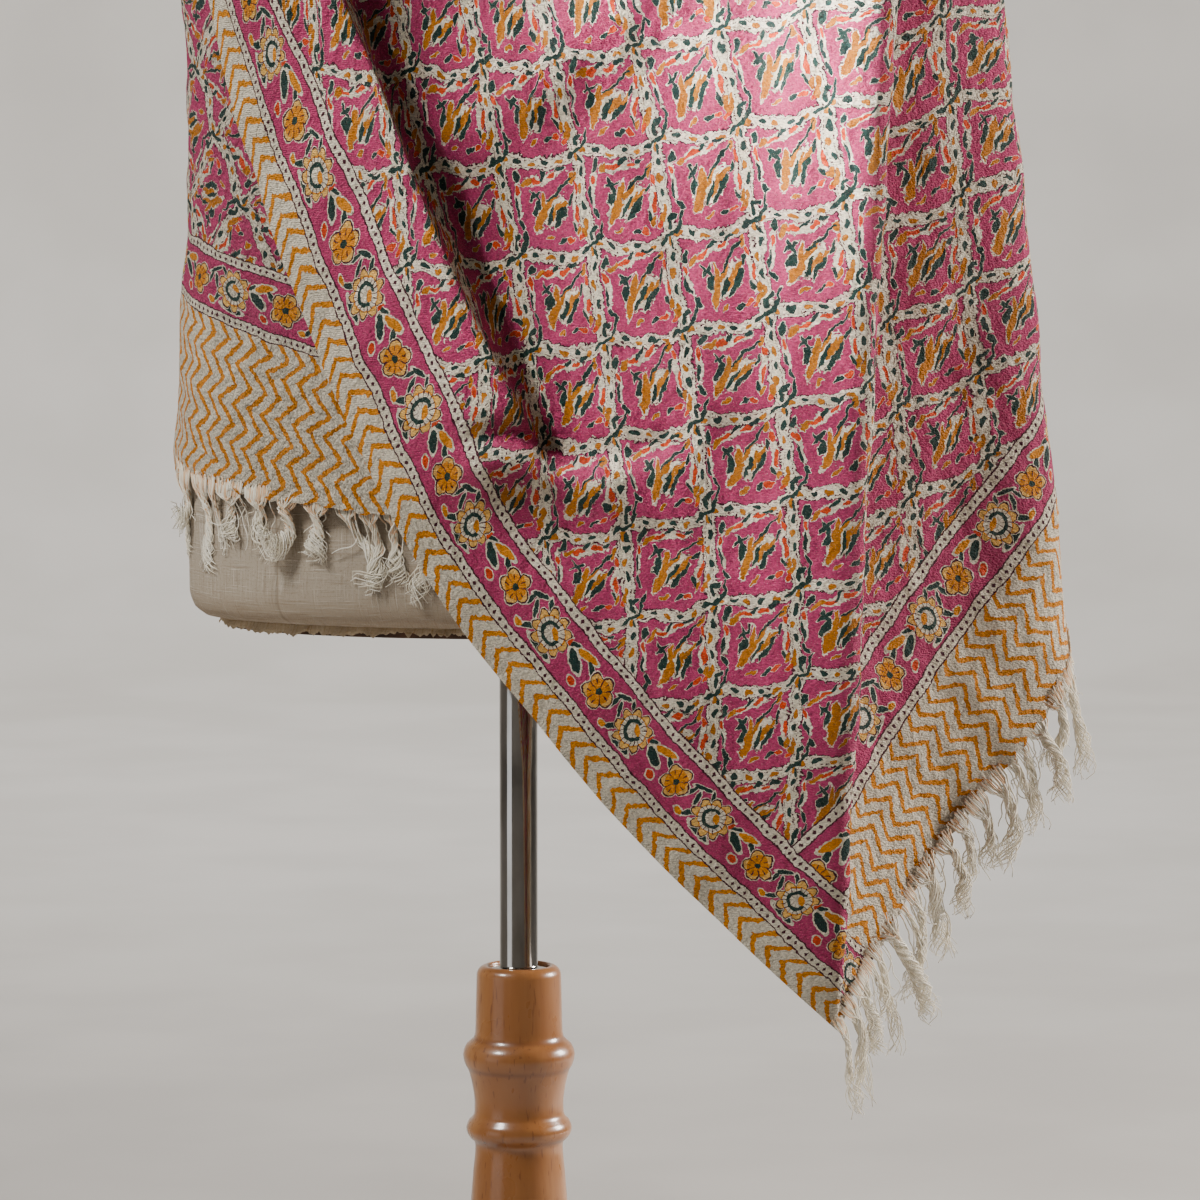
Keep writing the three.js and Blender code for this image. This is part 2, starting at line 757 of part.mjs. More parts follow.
function boardGeometry() {
  const high = FORM[0].z - GAP;
  const ring = formRing(FORM[0].z, -BOARD.inset);
  const flat = (z) => ring.map((point) => point.clone().setZ(z));
  return loft([flat(high - BOARD.thick), flat(high)]);
}

function turned(profile, around) {
  const points = profile.map(([r, z]) => new THREE.Vector2(r, z));
  return new THREE.LatheGeometry(points, around).rotateX(Math.PI / 2);
}

function columnGeometry() {
  const outline = TURNING.map((row) => [row.r, COLUMN.top - row.drop]);
  outline[0][1] = BASE.height + GAP;
  return turned([[0, outline[0][1]], ...outline, [0, COLUMN.top]], 24);
}

function baseGeometry() {
  const { radius, height } = BASE;
  return turned([[0, 0], [radius - 3, 0], [radius, 3], [radius, height * 0.4],
    [radius - 6, height * 0.62], [radius - 16, height * 0.72], [radius - 24, height],
    [0, height]], 40);
}

function capGeometry() {
  const { radius, height } = CAP;
  const z = NECK.top + GAP;
  return turned([[0, z], [radius - 2, z], [radius, z + 3], [radius, z + height - 5],
    [radius - 5, z + height], [16, z + height], [12, z + height + 3], [12, z + height + 7],
    [18, z + height + 13], [18, z + height + 19], [10, z + height + 25], [0, z + height + 27]], 20);
}

function tubeGeometry(radius, low, high) {
  return turned([[0, low], [radius, low], [radius, high], [0, high]], 20);
}

// Assembly

const model = new THREE.Group();

function add(name, geometry, material) {
  const mesh = new THREE.Mesh(geometry, material);
  mesh.name = name;
  model.add(mesh);
}

const boardLow = FORM[0].z - GAP - BOARD.thick;
const flangeLow = boardLow - GAP - FLANGE.height;

add("base", baseGeometry(), MATERIALS.beech);
add("column", columnGeometry(), MATERIALS.beech);
add("pole", tubeGeometry(POLE.radius, COLUMN.top + GAP, flangeLow - GAP), MATERIALS.chrome);
add("flange", tubeGeometry(FLANGE.radius, flangeLow, boardLow - GAP), MATERIALS.chrome);
add("board", boardGeometry(), MATERIALS.board);
add("torso", torsoGeometry(), MATERIALS.linen);
add("neck_cap", capGeometry(), MATERIALS.beech);
add("shawl", shawlGeometry(), MATERIALS.wool);
add("fringe_front", fringeGeometry(frontCut, -1, FRONT_HANG), MATERIALS.yarn);
add("fringe_under", fringeGeometry(underCut, 1, UNDER_HANG), MATERIALS.yarn);

export default model;
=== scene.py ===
"""A printed wool shawl draped round a dress form on a turned wooden stand.

Lengths in the tables are millimetres, as a maker would measure them. Every mesh is made in
metres, with +Z up, the form's front towards -Y and the floor at Z = 0.
"""

from __future__ import annotations

import functools
import logging
import math
from collections.abc import Callable, Sequence
from dataclasses import dataclass, field
from enum import Enum

import bpy
import numpy as np
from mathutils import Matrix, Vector

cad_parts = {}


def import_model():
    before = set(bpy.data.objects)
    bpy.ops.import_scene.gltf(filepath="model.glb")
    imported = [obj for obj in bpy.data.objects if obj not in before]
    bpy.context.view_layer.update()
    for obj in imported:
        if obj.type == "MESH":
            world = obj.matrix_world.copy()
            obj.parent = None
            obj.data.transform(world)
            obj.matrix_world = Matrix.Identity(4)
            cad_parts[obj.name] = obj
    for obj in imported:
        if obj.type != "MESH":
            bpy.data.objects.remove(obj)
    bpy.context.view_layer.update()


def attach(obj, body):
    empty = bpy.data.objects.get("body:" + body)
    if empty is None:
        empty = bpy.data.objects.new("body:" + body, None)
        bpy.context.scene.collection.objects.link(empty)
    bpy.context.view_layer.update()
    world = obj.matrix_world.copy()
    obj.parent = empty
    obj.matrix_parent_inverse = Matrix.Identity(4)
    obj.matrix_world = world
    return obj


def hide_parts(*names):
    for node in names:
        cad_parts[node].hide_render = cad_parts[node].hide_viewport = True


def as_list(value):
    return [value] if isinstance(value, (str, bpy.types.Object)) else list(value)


LOG = logging.getLogger("shawl")
MM = 0.001
# The texture map runs from 0 to 1 over this much of the cloth's length, from this place
MAP_START, MAP_SPAN = -40.0, 2080.0
# The form's upright seams, in degrees round from its front
SEAMS = (-58.0, 58.0, -122.0, 122.0)
Rows = tuple[tuple[float, ...], ...]
Light = tuple[float, float, float]
Place = tuple[float, float, float]
Outline = list[tuple[float, float]]


# Curves through tables


def ease(t: np.ndarray | float) -> np.ndarray:
    """Gives a smooth step from 0 to 1 as t goes from 0 to 1."""
    c = np.clip(t, 0.0, 1.0)
    return c * c * (3 - 2 * c)


def fade(x: np.ndarray, start: float, over: float) -> np.ndarray:
    """Gives a smooth step from 0 at start to 1 a given way past it."""
    return ease((x - start) / over)


def through(rows: Rows, column: int, x: np.ndarray | float) -> np.ndarray:
    """Reads a smooth curve through a table's rows that doesn't overshoot them.

    Args:
        rows: The table, its first column rising.
        column: The column to read.
        x: Where to read it.

    Returns:
        The values, the same shape as x.
    """
    xs = np.array([r[0] for r in rows], float)
    ys = np.array([r[column] for r in rows], float)
    step = np.diff(ys) / np.diff(xs)
    slope = np.empty_like(ys)
    slope[0], slope[-1] = step[0], step[-1]
    before, after = step[:-1], step[1:]
    same = before * after > 0
    total = np.where(same, before + after, 1.0)
    slope[1:-1] = np.where(same, 2 * before * after / total, 0.0)
    at = np.clip(np.asarray(x, float), xs[0], xs[-1])
    i = np.clip(np.searchsorted(xs, at, side="right") - 1, 0, len(xs) - 2)
    width = xs[i + 1] - xs[i]
    t = (at - xs[i]) / width
    t2, t3 = t * t, t * t * t
    return (
        (2 * t3 - 3 * t2 + 1) * ys[i]
        + (t3 - 2 * t2 + t) * width * slope[i]
        + (3 * t2 - 2 * t3) * ys[i + 1]
        + (t3 - t2) * width * slope[i + 1]
    )


# The drape


@dataclass(frozen=True)
class Crease:
    """A crease raised on the front of the shawl, from one point to another.

    It reaches left and right of its way by the widths given, and fades out past both ends.
    With slope set, its left side is a ramp that stops short instead of a round flank.
    """

    name: str
    start: tuple[float, float]
    end: tuple[float, float]
    bow: float
    left: float
    right: float
    height: float
    strength: tuple[float, float]
    lean: float = 0.0
    slope: bool = False

    def raise_at(self, x: np.ndarray, z: np.ndarray) -> tuple[np.ndarray, np.ndarray]:
        """Gives how far forward and sideways the crease moves the cloth.

        Args:
            x: Places across the front.
            z: Heights.

        Returns:
            The forward and the sideways move.
        """
        dx, dz = self.end[0] - self.start[0], self.end[1] - self.start[1]
        length = math.hypot(dx, dz)
        ux, uz = dx / length, dz / length
        t = ((x - self.start[0]) * ux + (z - self.start[1]) * uz) / length
        on = np.clip(t, 0, 1)
        off = (z - self.start[1]) * ux - (x - self.start[0]) * uz - self.bow * 4 * on * (1 - on)
        round_side = np.exp(-((off / np.where(off > 0, self.right, self.left)) ** 2))
        side = round_side
        if self.slope:
            side = np.where(off < 0, ease(1 + off / self.left), round_side)
        strength = self.strength[0] + (self.strength[1] - self.strength[0]) * on
        ends = ease((1.15 - t) / 0.3) * ease((t + 0.45) / 0.3)
        height = self.height * strength * ends * side
        return height, self.lean * height


@dataclass
class Form:
    """The body under the cloth: half width and half depth by height, and its shoulder."""

    body: Rows = (
        (735, 188, 114), (740, 194, 120), (750, 197, 123), (860, 196, 124), (960, 190, 118),
        (1060, 188, 114), (1100, 190, 113),
    )
    shoulder: Rows = (
        (1100, 0.0), (1170, 0.02), (1220, 0.1), (1252, 0.28), (1278, 0.52), (1300, 0.76),
        (1322, 0.92), (1345, 1.0), (1400, 1.03),
    )
    neck: float = 60.0
    low: float = 735.0
    chest: float = 1100.0
    top: float = 1400.0

    def inward(self, z: np.ndarray | float) -> np.ndarray:
        """Gives the share of the way in from the chest to the neck."""
        return through(self.shoulder, 1, z)

    def radius(self, turn: np.ndarray, z: np.ndarray, grow: np.ndarray | float) -> np.ndarray:
        """Measures from the pole out to a surface that stands off the form.

        Args:
            turn: Degrees round from the front.
            z: Heights.
            grow: How far the surface stands off.

        Returns:
            The radii.
        """
        t = np.radians(turn)
        at = np.clip(z, self.low, self.chest)
        a = through(self.body, 1, at) + grow
        b = through(self.body, 2, at) + grow
        round_part = a * b / np.hypot(b * np.sin(t), a * np.cos(t))
        w = self.inward(z)
        return round_part * (1 - w) + (self.neck + grow) * w


class Girth:
    """Lengths round a family of closed sections, with zero at one fold line."""

    STEPS = 24

    def __init__(
        self, place: Callable, lines: int, low: float, high: float, count: int, zero: float
    ) -> None:
        """Measures the sections.

        Args:
            place: Gives x and y for fold line numbers and heights.
            lines: The number of fold lines.
            low: The lowest height.
            high: The highest height.
            count: How many heights to measure at.
            zero: The fold line from which lengths count.
        """
        self.lines, self.low, self.high, self.count = lines, low, high, count
        self.q = np.linspace(0, lines, lines * self.STEPS + 1)
        self.rows = []
        for z in np.linspace(low, high, count):
            x, y = place(self.q, np.full_like(self.q, z))
            run = np.concatenate([[0.0], np.cumsum(np.hypot(np.diff(x), np.diff(y)))])
            self.rows.append(run - np.interp(zero, self.q, run))

    def _blend(self, z: np.ndarray, read: Callable) -> np.ndarray:
        """Mixes what two neighbouring sections give.

        Args:
            z: Heights to read at.
            read: Reads one section, for the places that it is given.

        Returns:
            The mixed values, the same shape as z.
        """
        level = (np.clip(z, self.low, self.high) - self.low) / (self.high - self.low)
        level = level * (self.count - 1)
        low = np.clip(np.floor(level).astype(int), 0, self.count - 2)
        share = level - low
        mixed = np.zeros(np.shape(z))
        for number in np.unique(low):
            here = low == number
            first, second = read(self.rows[number], here), read(self.rows[number + 1], here)
            mixed[here] = first * (1 - share[here]) + second * share[here]
        return mixed

    def to_line(self, s: np.ndarray, z: np.ndarray) -> np.ndarray:
        """Gives fold line numbers for lengths round the sections at given heights."""

        def read(row: np.ndarray, here: np.ndarray) -> np.ndarray:
            """Reads one section."""
            turns = np.floor((s[here] - row[0]) / (row[-1] - row[0]))
            return np.interp(s[here] - turns * (row[-1] - row[0]), row, self.q) + turns * self.lines

        return self._blend(z, read)

    def to_length(self, q: np.ndarray, z: np.ndarray) -> np.ndarray:
        """Gives lengths round the sections for fold line numbers at given heights."""

        def read(row: np.ndarray, here: np.ndarray) -> np.ndarray:
            """Reads one section."""
            turns = np.floor(q[here] / self.lines)
            return np.interp(q[here] - turns * self.lines, self.q, row) + turns * (row[-1] - row[0])

        return self._blend(z, read)


@dataclass
class Drape:
    """The way the flat cloth lies: u along it from the front end, v across from the low edge."""

    form: Form = field(default_factory=Form)
    length: float = 2000.0
    width: float = 700.0
    lowest: float = 430.0
    neck_ring: float = 102.0
    chest_lift: float = 8.0
    shoulder_lift: float = 13.0
    gather_pitch: float = 116.0
    edge_rise: float = 50.0

    # x and y at heights 1100, 800 and 500, and how far the line is drawn in at the shoulder
    fold_lines: tuple[tuple, ...] = (
        ("back", (0, 146), (0, 152), (0, 152), 0.0),
        ("back left", (-135, 116), (-135, 122), (-135, 122), 0.0),
        ("side left", (-212, 8), (-214, 8), (-214, 8), 0.0),
        ("cheek", (-182, -84), (-184, -84), (-184, -84), 0.0),
        ("front left", (-100, -128), (-100, -131), (-100, -131), 0.0),
        ("front", (10, -141), (10, -145), (10, -146), 0.0),
        ("front right", (125, -146), (115, -152), (110, -154), 0.0),
        ("ridge", (214, -156), (198, -160), (186, -160), 0.03),
        ("valley", (207, -88), (190, -96), (187, -162), 0.04),
        ("panel", (252, -44), (250, -46), (230, -118), 0.07),
        ("right side", (290, 6), (322, 6), (352, -40), 0.1),
        ("back right", (246, 104), (270, 112), (290, 70), 0.09),
        ("back mid", (128, 142), (150, 168), (160, 150), 0.04),
    )
    creases: tuple[Crease, ...] = (
        Crease("roll", (-119, 1100), (14, 838), -6, 104, 13, 34, (1, 0.1), 0.45, True),
        Crease("valley", (-66, 1100), (34, 836), -6, 16, 40, -6, (0.9, 0.9)),
        Crease("swag", (60, 1104), (-70, 1006), 6, 36, 26, 11, (1, 0.35)),
        Crease("lip", (-14, 836), (62, 822), -4, 10, 16, 9, (0.2, 0.6)),
        Crease("dent", (72, 916), (120, 858), 0, 12, 14, 6, (0.3, 0.8)),
    )
    # Sharper folds of the thin cloth, over the creases that the solid has
    folds: tuple[Crease, ...] = (
        Crease("roll edge", (-108, 1110), (4, 842), -9, 64, 9, 23, (1, 0.8), 0.6),
        Crease("swell", (196, 1130), (178, 640), 4, 150, 26, 15, (1, 0.5)),
        Crease("swag top", (40, 1062), (-40, 1016), 5, 26, 16, 6, (0.9, 0.5)),
        Crease("lip edge", (2, 836), (94, 834), -10, 28, 7, 12, (1, 0.5)),
        Crease("tuck over the lip", (6, 850), (94, 848), -10, 5, 8, -7, (1, 0.5)),
        Crease("hem of the swag", (-20, 850), (110, 800), -8, 12, 22, 6, (0.7, 0.5)),
        Crease("pull", (-40, 1010), (66, 856), -8, 9, 13, 4, (0.4, 1)),
        Crease("pleat one", (66, 1120), (40, 930), 4, 9, 12, 3.2, (1, 0.5)),
        Crease("pleat two", (118, 1120), (92, 760), 7, 11, 13, 3.6, (0.8, 0.8)),
        Crease("pleat three", (160, 1120), (148, 700), 5, 9, 12, 3, (0.7, 1)),
        Crease("pleat four", (18, 1080), (96, 880), 8, 8, 12, 2.6, (0.6, 1)),
        Crease("low pleat", (60, 780), (118, 600), 6, 10, 14, 3, (0.7, 1)),
    )
    # The long edge across the front: height, x
    edge: Rows = (
        (507, 186), (560, 128), (632, 56), (690, 8), (741, -33), (800, -70), (850, -96),
        (896, -116), (945, -134), (992, -149), (1045, -165), (1098, -178.5),
    )
    # Slope in degrees of the lines across the cloth, by u
    slopes: Rows = ((0, 43), (100, 43.5), (300, 48), (600, 53), (800, 52), (1000, 46))
    # A flat rise above the chest, and the height it takes up
    rises: Rows = ((0, 0), (90, 86), (200, 150), (300, 188), (420, 218), (560, 240), (720, 256))
    # Round the neck: u, turn and height of the low edge, turn and height of the high edge
    passage: Rows = (
        (800, -66, 1190, 40, 1344),
        (880, -88, 1176, -3, 1350),
        (960, -112, 1135, -45, 1354),
        (1040, -135, 1088, -87, 1356),
        (1120, -158, 1040, -128, 1356),
        (1240, -204, 1012, -205, 1356),
        (1360, -240, 1062, -300, 1352),
        (1480, -266, 1130, -400, 1338),
        (1600, -282, 1122, -470, 1262),
        (1720, -288, 1035, -534, 1150),
    )
    # The under end's lower corner along the body and up, its slant and its lines' slope
    under_end: tuple[float, float, float, float] = (145, 732, 9.7, 15)
    # Where each cut end stands along the cloth, by v
    front_cut: Rows = (
        (0, 0), (100, -5), (200, -11), (300, -16), (400, -21), (500, -24), (700, -24),
    )
    under_cut: Rows = (
        (0, 1980), (150, 1982), (200, 1986), (278, 1997), (390, 2015), (450, 2020), (700, 2022),
    )
    # Share of the outer layer, and height of the gathers, by u
    outer_share: Rows = (
        (0, 1), (900, 1), (1050, 0.95), (1200, 0.62), (1340, 0.3), (1450, 0), (2000, 0),
    )
    gathers: Rows = (
        (620, 0), (860, 12), (1000, 19), (1200, 22), (1320, 11), (1450, 7), (1560, 4), (1650, 0),
    )
    # Where along the cloth one way of lying eases into the next, and over how much
    into_passage: tuple[float, float] = (720, 160)
    into_under: tuple[float, float] = (1500, 220)
    out_of_folds: tuple[float, float] = (700, 120)

    def __post_init__(self) -> None:
        """Measures the sections and the long edge."""
        self.lines = len(self.fold_lines)
        self.ridge = [row[0] for row in self.fold_lines].index("ridge")
        turns = [math.degrees(math.atan2(row[1][0], -row[1][1])) for row in self.fold_lines]
        turns[0] = -180.0
        self.turns = np.array([*turns, 180.0])
        self.tucks = np.array([*(row[4] for row in self.fold_lines), self.fold_lines[0][4]])
        self.whole = np.arange(self.lines + 1)
        self.outer_girth = Girth(
            self.outer_section, self.lines, self.lowest, self.form.chest, 68, self.ridge
        )
        front = float(self.turn_to_line(np.array([0.0]))[0])
        self.under_girth = Girth(
            self.under_place, self.lines, self.form.low, self.form.chest, 20, front
        )
        self._measure_edge()

    def _measure_edge(self) -> None:
        """Finds the long edge's length from the low corner, and its place round the sections."""
        z = np.linspace(self.edge[0][0], self.edge[-1][0], 60)
        x = through(self.edge, 1, z)
        q = np.linspace(2, self.ridge, 1001)
        lines = []
        for height, across in zip(z, x):
            reach, _ = self.outer_section(q, np.full_like(q, height))
            past = np.argmax(reach >= across) if reach[-1] >= across else len(q) - 1
            before = max(past - 1, 0)
            gap = reach[past] - reach[before]
            share = (across - reach[before]) / gap if gap else 0.0
            lines.append(q[before] + (q[1] - q[0]) * float(np.clip(share, 0, 1)))
        self.edge_z = z
        self.edge_s = self.outer_girth.to_length(np.array(lines), z)
        steps = np.hypot(np.diff(self.edge_s), np.diff(z))
        self.edge_u = np.concatenate([[0.0], np.cumsum(steps)])

    def line_to_turn(self, q: np.ndarray) -> np.ndarray:
        """Gives degrees round from the front for fold line numbers."""
        rounds = np.floor(q / self.lines)
        return np.interp(q - rounds * self.lines, self.whole, self.turns) + rounds * 360

    def turn_to_line(self, turn: np.ndarray) -> np.ndarray:
        """Gives fold line numbers for degrees round from the front."""
        rounds = np.floor((turn + 180) / 360)
        return np.interp(turn - rounds * 360, self.turns, self.whole) + rounds * self.lines

    def outer_section(self, q: np.ndarray, z: np.ndarray) -> tuple[np.ndarray, np.ndarray]:
        """Gives x and y of the outer layer below the shoulder, creases included.

        Args:
            q: The place along the fold lines.
            z: The height.

        Returns:
            x and y.
        """
        middle, reach = 800, 300
        t = (np.clip(z, self.lowest, self.form.chest) - middle) / reach
        number = np.floor(q).astype(int)
        share = q - np.floor(q)
        corners = []
        for step in (-1, 0, 1, 2):
            rows = np.mod(number + step, self.lines)
            top, mid, low = (
                np.array([row[k] for row in self.fold_lines], float)[rows] for k in (1, 2, 3)
            )
            curve = (t * t)[..., None] * ((top + low) / 2 - mid)
            corners.append(mid + t[..., None] * (top - low) / 2 + curve)
        p0, p1, p2, p3 = corners
        c0, c1, c2 = (
            np.sqrt(np.linalg.norm(b - a, axis=-1))[..., None] for a, b in zip(corners, corners[1:])
        )
        m1 = ((p1 - p0) / c0 - (p2 - p0) / (c0 + c1) + (p2 - p1) / c1) * c1
        m2 = ((p2 - p1) / c1 - (p3 - p1) / (c1 + c2) + (p3 - p2) / c2) * c1
        s = share[..., None]
        s2, s3 = s * s, s * s * s
        spot = (2 * s3 - 3 * s2 + 1) * p1 + (s3 - 2 * s2 + s) * m1 + (3 * s2 - 2 * s3) * p2
        spot = spot + (s3 - s2) * m2
        x, y = spot[..., 0], spot[..., 1]
        forward, sideways = np.zeros_like(x), np.zeros_like(x)
        for crease in self.creases:
            ahead, aside = crease.raise_at(x, z)
            forward, sideways = forward + ahead, sideways + aside
        front = fade(-y, 20, 60)
        return x + sideways * front, y - forward * front

    def outer_place(self, q: np.ndarray, z: np.ndarray) -> tuple[np.ndarray, np.ndarray]:
        """Gives x and y of the outer layer at any height.

        Args:
            q: The place along the fold lines.
            z: The height.

        Returns:
            x and y.
        """
        x, y = self.outer_section(q, np.minimum(z, self.form.chest))
        tuck = np.interp(q - np.floor(q / self.lines) * self.lines, self.whole, self.tucks)
        pull = np.sin(np.pi * np.clip((z - self.form.chest) / 245, 0, 1)) * 1.6 * tuck
        w = np.clip(self.form.inward(z) + pull, 0, 1.05)
        t = np.radians(self.line_to_turn(q))
        ring = self.neck_ring
        return x * (1 - w) + ring * np.sin(t) * w, y * (1 - w) - ring * np.cos(t) * w

    def under_place(self, q: np.ndarray, z: np.ndarray) -> tuple[np.ndarray, np.ndarray]:
        """Gives x and y of the layer that lies on the form."""
        turn = self.line_to_turn(q)
        more = (self.shoulder_lift - self.chest_lift) * fade(z, 1140, 80)
        r = self.form.radius(turn, z, self.chest_lift + more)
        return r * np.sin(np.radians(turn)), -r * np.cos(np.radians(turn))

    def rise(self, z: np.ndarray) -> np.ndarray:
        """Gives the height on the body for a flat height."""
        chest = self.form.chest
        return np.where(z < chest, z, chest + through(self.rises, 1, z - chest))

    def front_map(self, u: np.ndarray, v: np.ndarray) -> tuple[np.ndarray, np.ndarray]:
        """Lays the front part of the cloth on the outer layer, as fold line and height.

        Args:
            u: Along the cloth.
            v: Across the cloth.

        Returns:
            The place along the fold lines, and the height.
        """
        slope = np.radians(through(self.slopes, 1, u))
        past = np.maximum(u - self.edge_u[-1], 0)
        before = np.minimum(u, 0)
        s = np.interp(u, self.edge_u, self.edge_s) - past * math.cos(math.radians(self.edge_rise))
        z = np.interp(u, self.edge_u, self.edge_z) + past * math.sin(math.radians(self.edge_rise))
        s = s - before * np.sin(slope) + v * np.cos(slope)
        z = z + before * np.cos(slope) + v * np.sin(slope)
        return self.outer_girth.to_line(s, np.minimum(z, self.form.chest)), self.rise(z)

    def under_map(self, u: np.ndarray, v: np.ndarray) -> tuple[np.ndarray, np.ndarray]:
        """Lays the under end of the cloth on the form, as fold line and height.

        Args:
            u: Along the cloth.
            v: Across the cloth.

        Returns:
            The place along the fold lines, and the height.
        """
        s0, z0, slant, slope = self.under_end
        slant, slope = math.radians(slant), math.radians(slope)
        back = self.length - u
        s = s0 + back * math.sin(slant) - v * math.cos(slope)
        z = z0 + back * math.cos(slant) + v * math.sin(slope)
        line = self.under_girth.to_line(s, np.minimum(z, self.form.chest))
        return line - self.lines, self.rise(z)

    def passage_map(self, u: np.ndarray, v: np.ndarray) -> tuple[np.ndarray, np.ndarray]:
        """Leads the cloth round the back of the neck, as fold line and height.

        Args:
            u: Along the cloth.
            v: Across the cloth.

        Returns:
            The place along the fold lines, and the height.
        """
        f = v / self.width
        turn = through(self.passage, 1, u) * (1 - f) + through(self.passage, 3, u) * f
        z = through(self.passage, 2, u) * (1 - f) + through(self.passage, 4, u) * f
        return self.turn_to_line(turn), z

    def smooth_place(self, u: np.ndarray, v: np.ndarray) -> np.ndarray:
        """Gives the cloth's points in millimetres, without its gathers.

        Args:
            u: Along the cloth.
            v: Across the cloth.

        Returns:
            The points, as rows of x, y and z.
        """
        to_passage, to_under = fade(u, *self.into_passage), fade(u, *self.into_under)
        q1, z1 = self.front_map(np.minimum(u, 1100), v)
        q2, z2 = self.passage_map(u, v)
        q3, z3 = self.under_map(np.maximum(u, 1400), v)
        q = (q1 * (1 - to_passage) + q2 * to_passage) * (1 - to_under) + q3 * to_under
        z = (z1 * (1 - to_passage) + z2 * to_passage) * (1 - to_under) + z3 * to_under
        outer = through(self.outer_share, 1, u)
        xo, yo = self.outer_place(q, z)
        xu, yu = self.under_place(q, z)
        return np.stack([xu * (1 - outer) + xo * outer, yu * (1 - outer) + yo * outer, z], -1)

    def normal(self, u: np.ndarray, v: np.ndarray, step: float = 4.0) -> np.ndarray:
        """Gives the smooth cloth's unit normals."""
        along = self.smooth_place(u + step, v) - self.smooth_place(u - step, v)
        across = self.smooth_place(u, v + step) - self.smooth_place(u, v - step)
        normal = np.cross(along, across)
        return normal / (np.linalg.norm(normal, axis=-1, keepdims=True) + 1e-9)

    def place(self, u: np.ndarray, v: np.ndarray) -> tuple[np.ndarray, np.ndarray]:
        """Gives the cloth's points in millimetres and its outward normals.

        Args:
            u: Along the cloth.
            v: Across the cloth.

        Returns:
            The points and the normals.
        """
        point = self.smooth_place(u, v)
        normal = self.normal(u, v)
        away = np.stack([point[..., 0], point[..., 1], np.full(u.shape, 60.0)], -1)
        normal = normal * np.sign((normal * away).sum(-1))[..., None]
        wander = 14 * np.sin(u / 130)
        wave = 0.5 - 0.5 * np.cos(2 * np.pi * (v + wander) / self.gather_pitch)
        edges = fade(v, -20, 100) * fade(self.width - v, -20, 100)
        height = through(self.gathers, 1, u) * wave * edges
        end, over = self.out_of_folds
        front = ease((end - u) / over) * fade(-point[..., 1], 60, 60)
        for fold in self.folds:
            ahead, aside = fold.raise_at(point[..., 0], point[..., 2])
            point = point + np.stack([aside * front, -ahead * front, np.zeros_like(ahead)], -1)
        return point + normal * height[..., None], normal

    def cut(self, share: np.ndarray, v: np.ndarray) -> np.ndarray:
        """Gives u for shares of the cloth's cut length."""
        low, high = through(self.front_cut, 1, v), through(self.under_cut, 1, v)
        ragged = np.sin(v / 1.9) + 0.8 * np.sin(v / 3.3 + 1) + 0.9 * np.sin(v / 8.1 + 2)
        low, high = low + 0.8 * ragged, high + 0.8 * ragged[..., ::-1]
        return low + (high - low) * share


# Meshes


def mesh_object(name: str, points: np.ndarray, faces: list | np.ndarray) -> bpy.types.Object:
    """Makes a smooth-shaded object.

    Args:
        name: The piece's name.
        points: Its corners, in metres.
        faces: Its faces, by corner number.

    Returns:
        The object, linked to the scene.
    """
    mesh = bpy.data.meshes.new(name)
    mesh.from_pydata(points.tolist(), [], [list(map(int, f)) for f in faces])
    mesh.validate()
    mesh.polygons.foreach_set("use_smooth", [True] * len(mesh.polygons))
    mesh.update()
    piece = bpy.data.objects.new(name, mesh)
    bpy.context.scene.collection.objects.link(piece)
    return piece


def ring_faces(rings: int, around: int) -> list[tuple[int, int, int, int]]:
    """Gives the faces between closed rings of corners that are numbered one ring after another.

    Args:
        rings: How many rings there are.
        around: Corners in a ring.

    Returns:
        Four corner numbers for each face.
    """
    faces = []
    for ring in range(rings - 1):
        for k in range(around):
            a, b = ring * around + k, ring * around + (k + 1) % around
            faces.append((a, b, b + around, a + around))
    return faces


def set_uv(piece: bpy.types.Object, per_corner: np.ndarray) -> None:
    """Writes a texture map from one pair of numbers for each corner of the mesh.

    Args:
        piece: The object to write it on.
        per_corner: The pairs, in the order of its points.
    """
    layer = piece.data.uv_layers.new(name="UVMap")
    loops = np.empty(len(piece.data.loops), np.int64)
    piece.data.loops.foreach_get("vertex_index", loops)
    layer.data.foreach_set("uv", per_corner[loops].astype(np.float32).ravel())


def deselect() -> None:
    """Leaves object mode's selection empty."""
    bpy.ops.object.select_all(action="DESELECT")


# Finishes


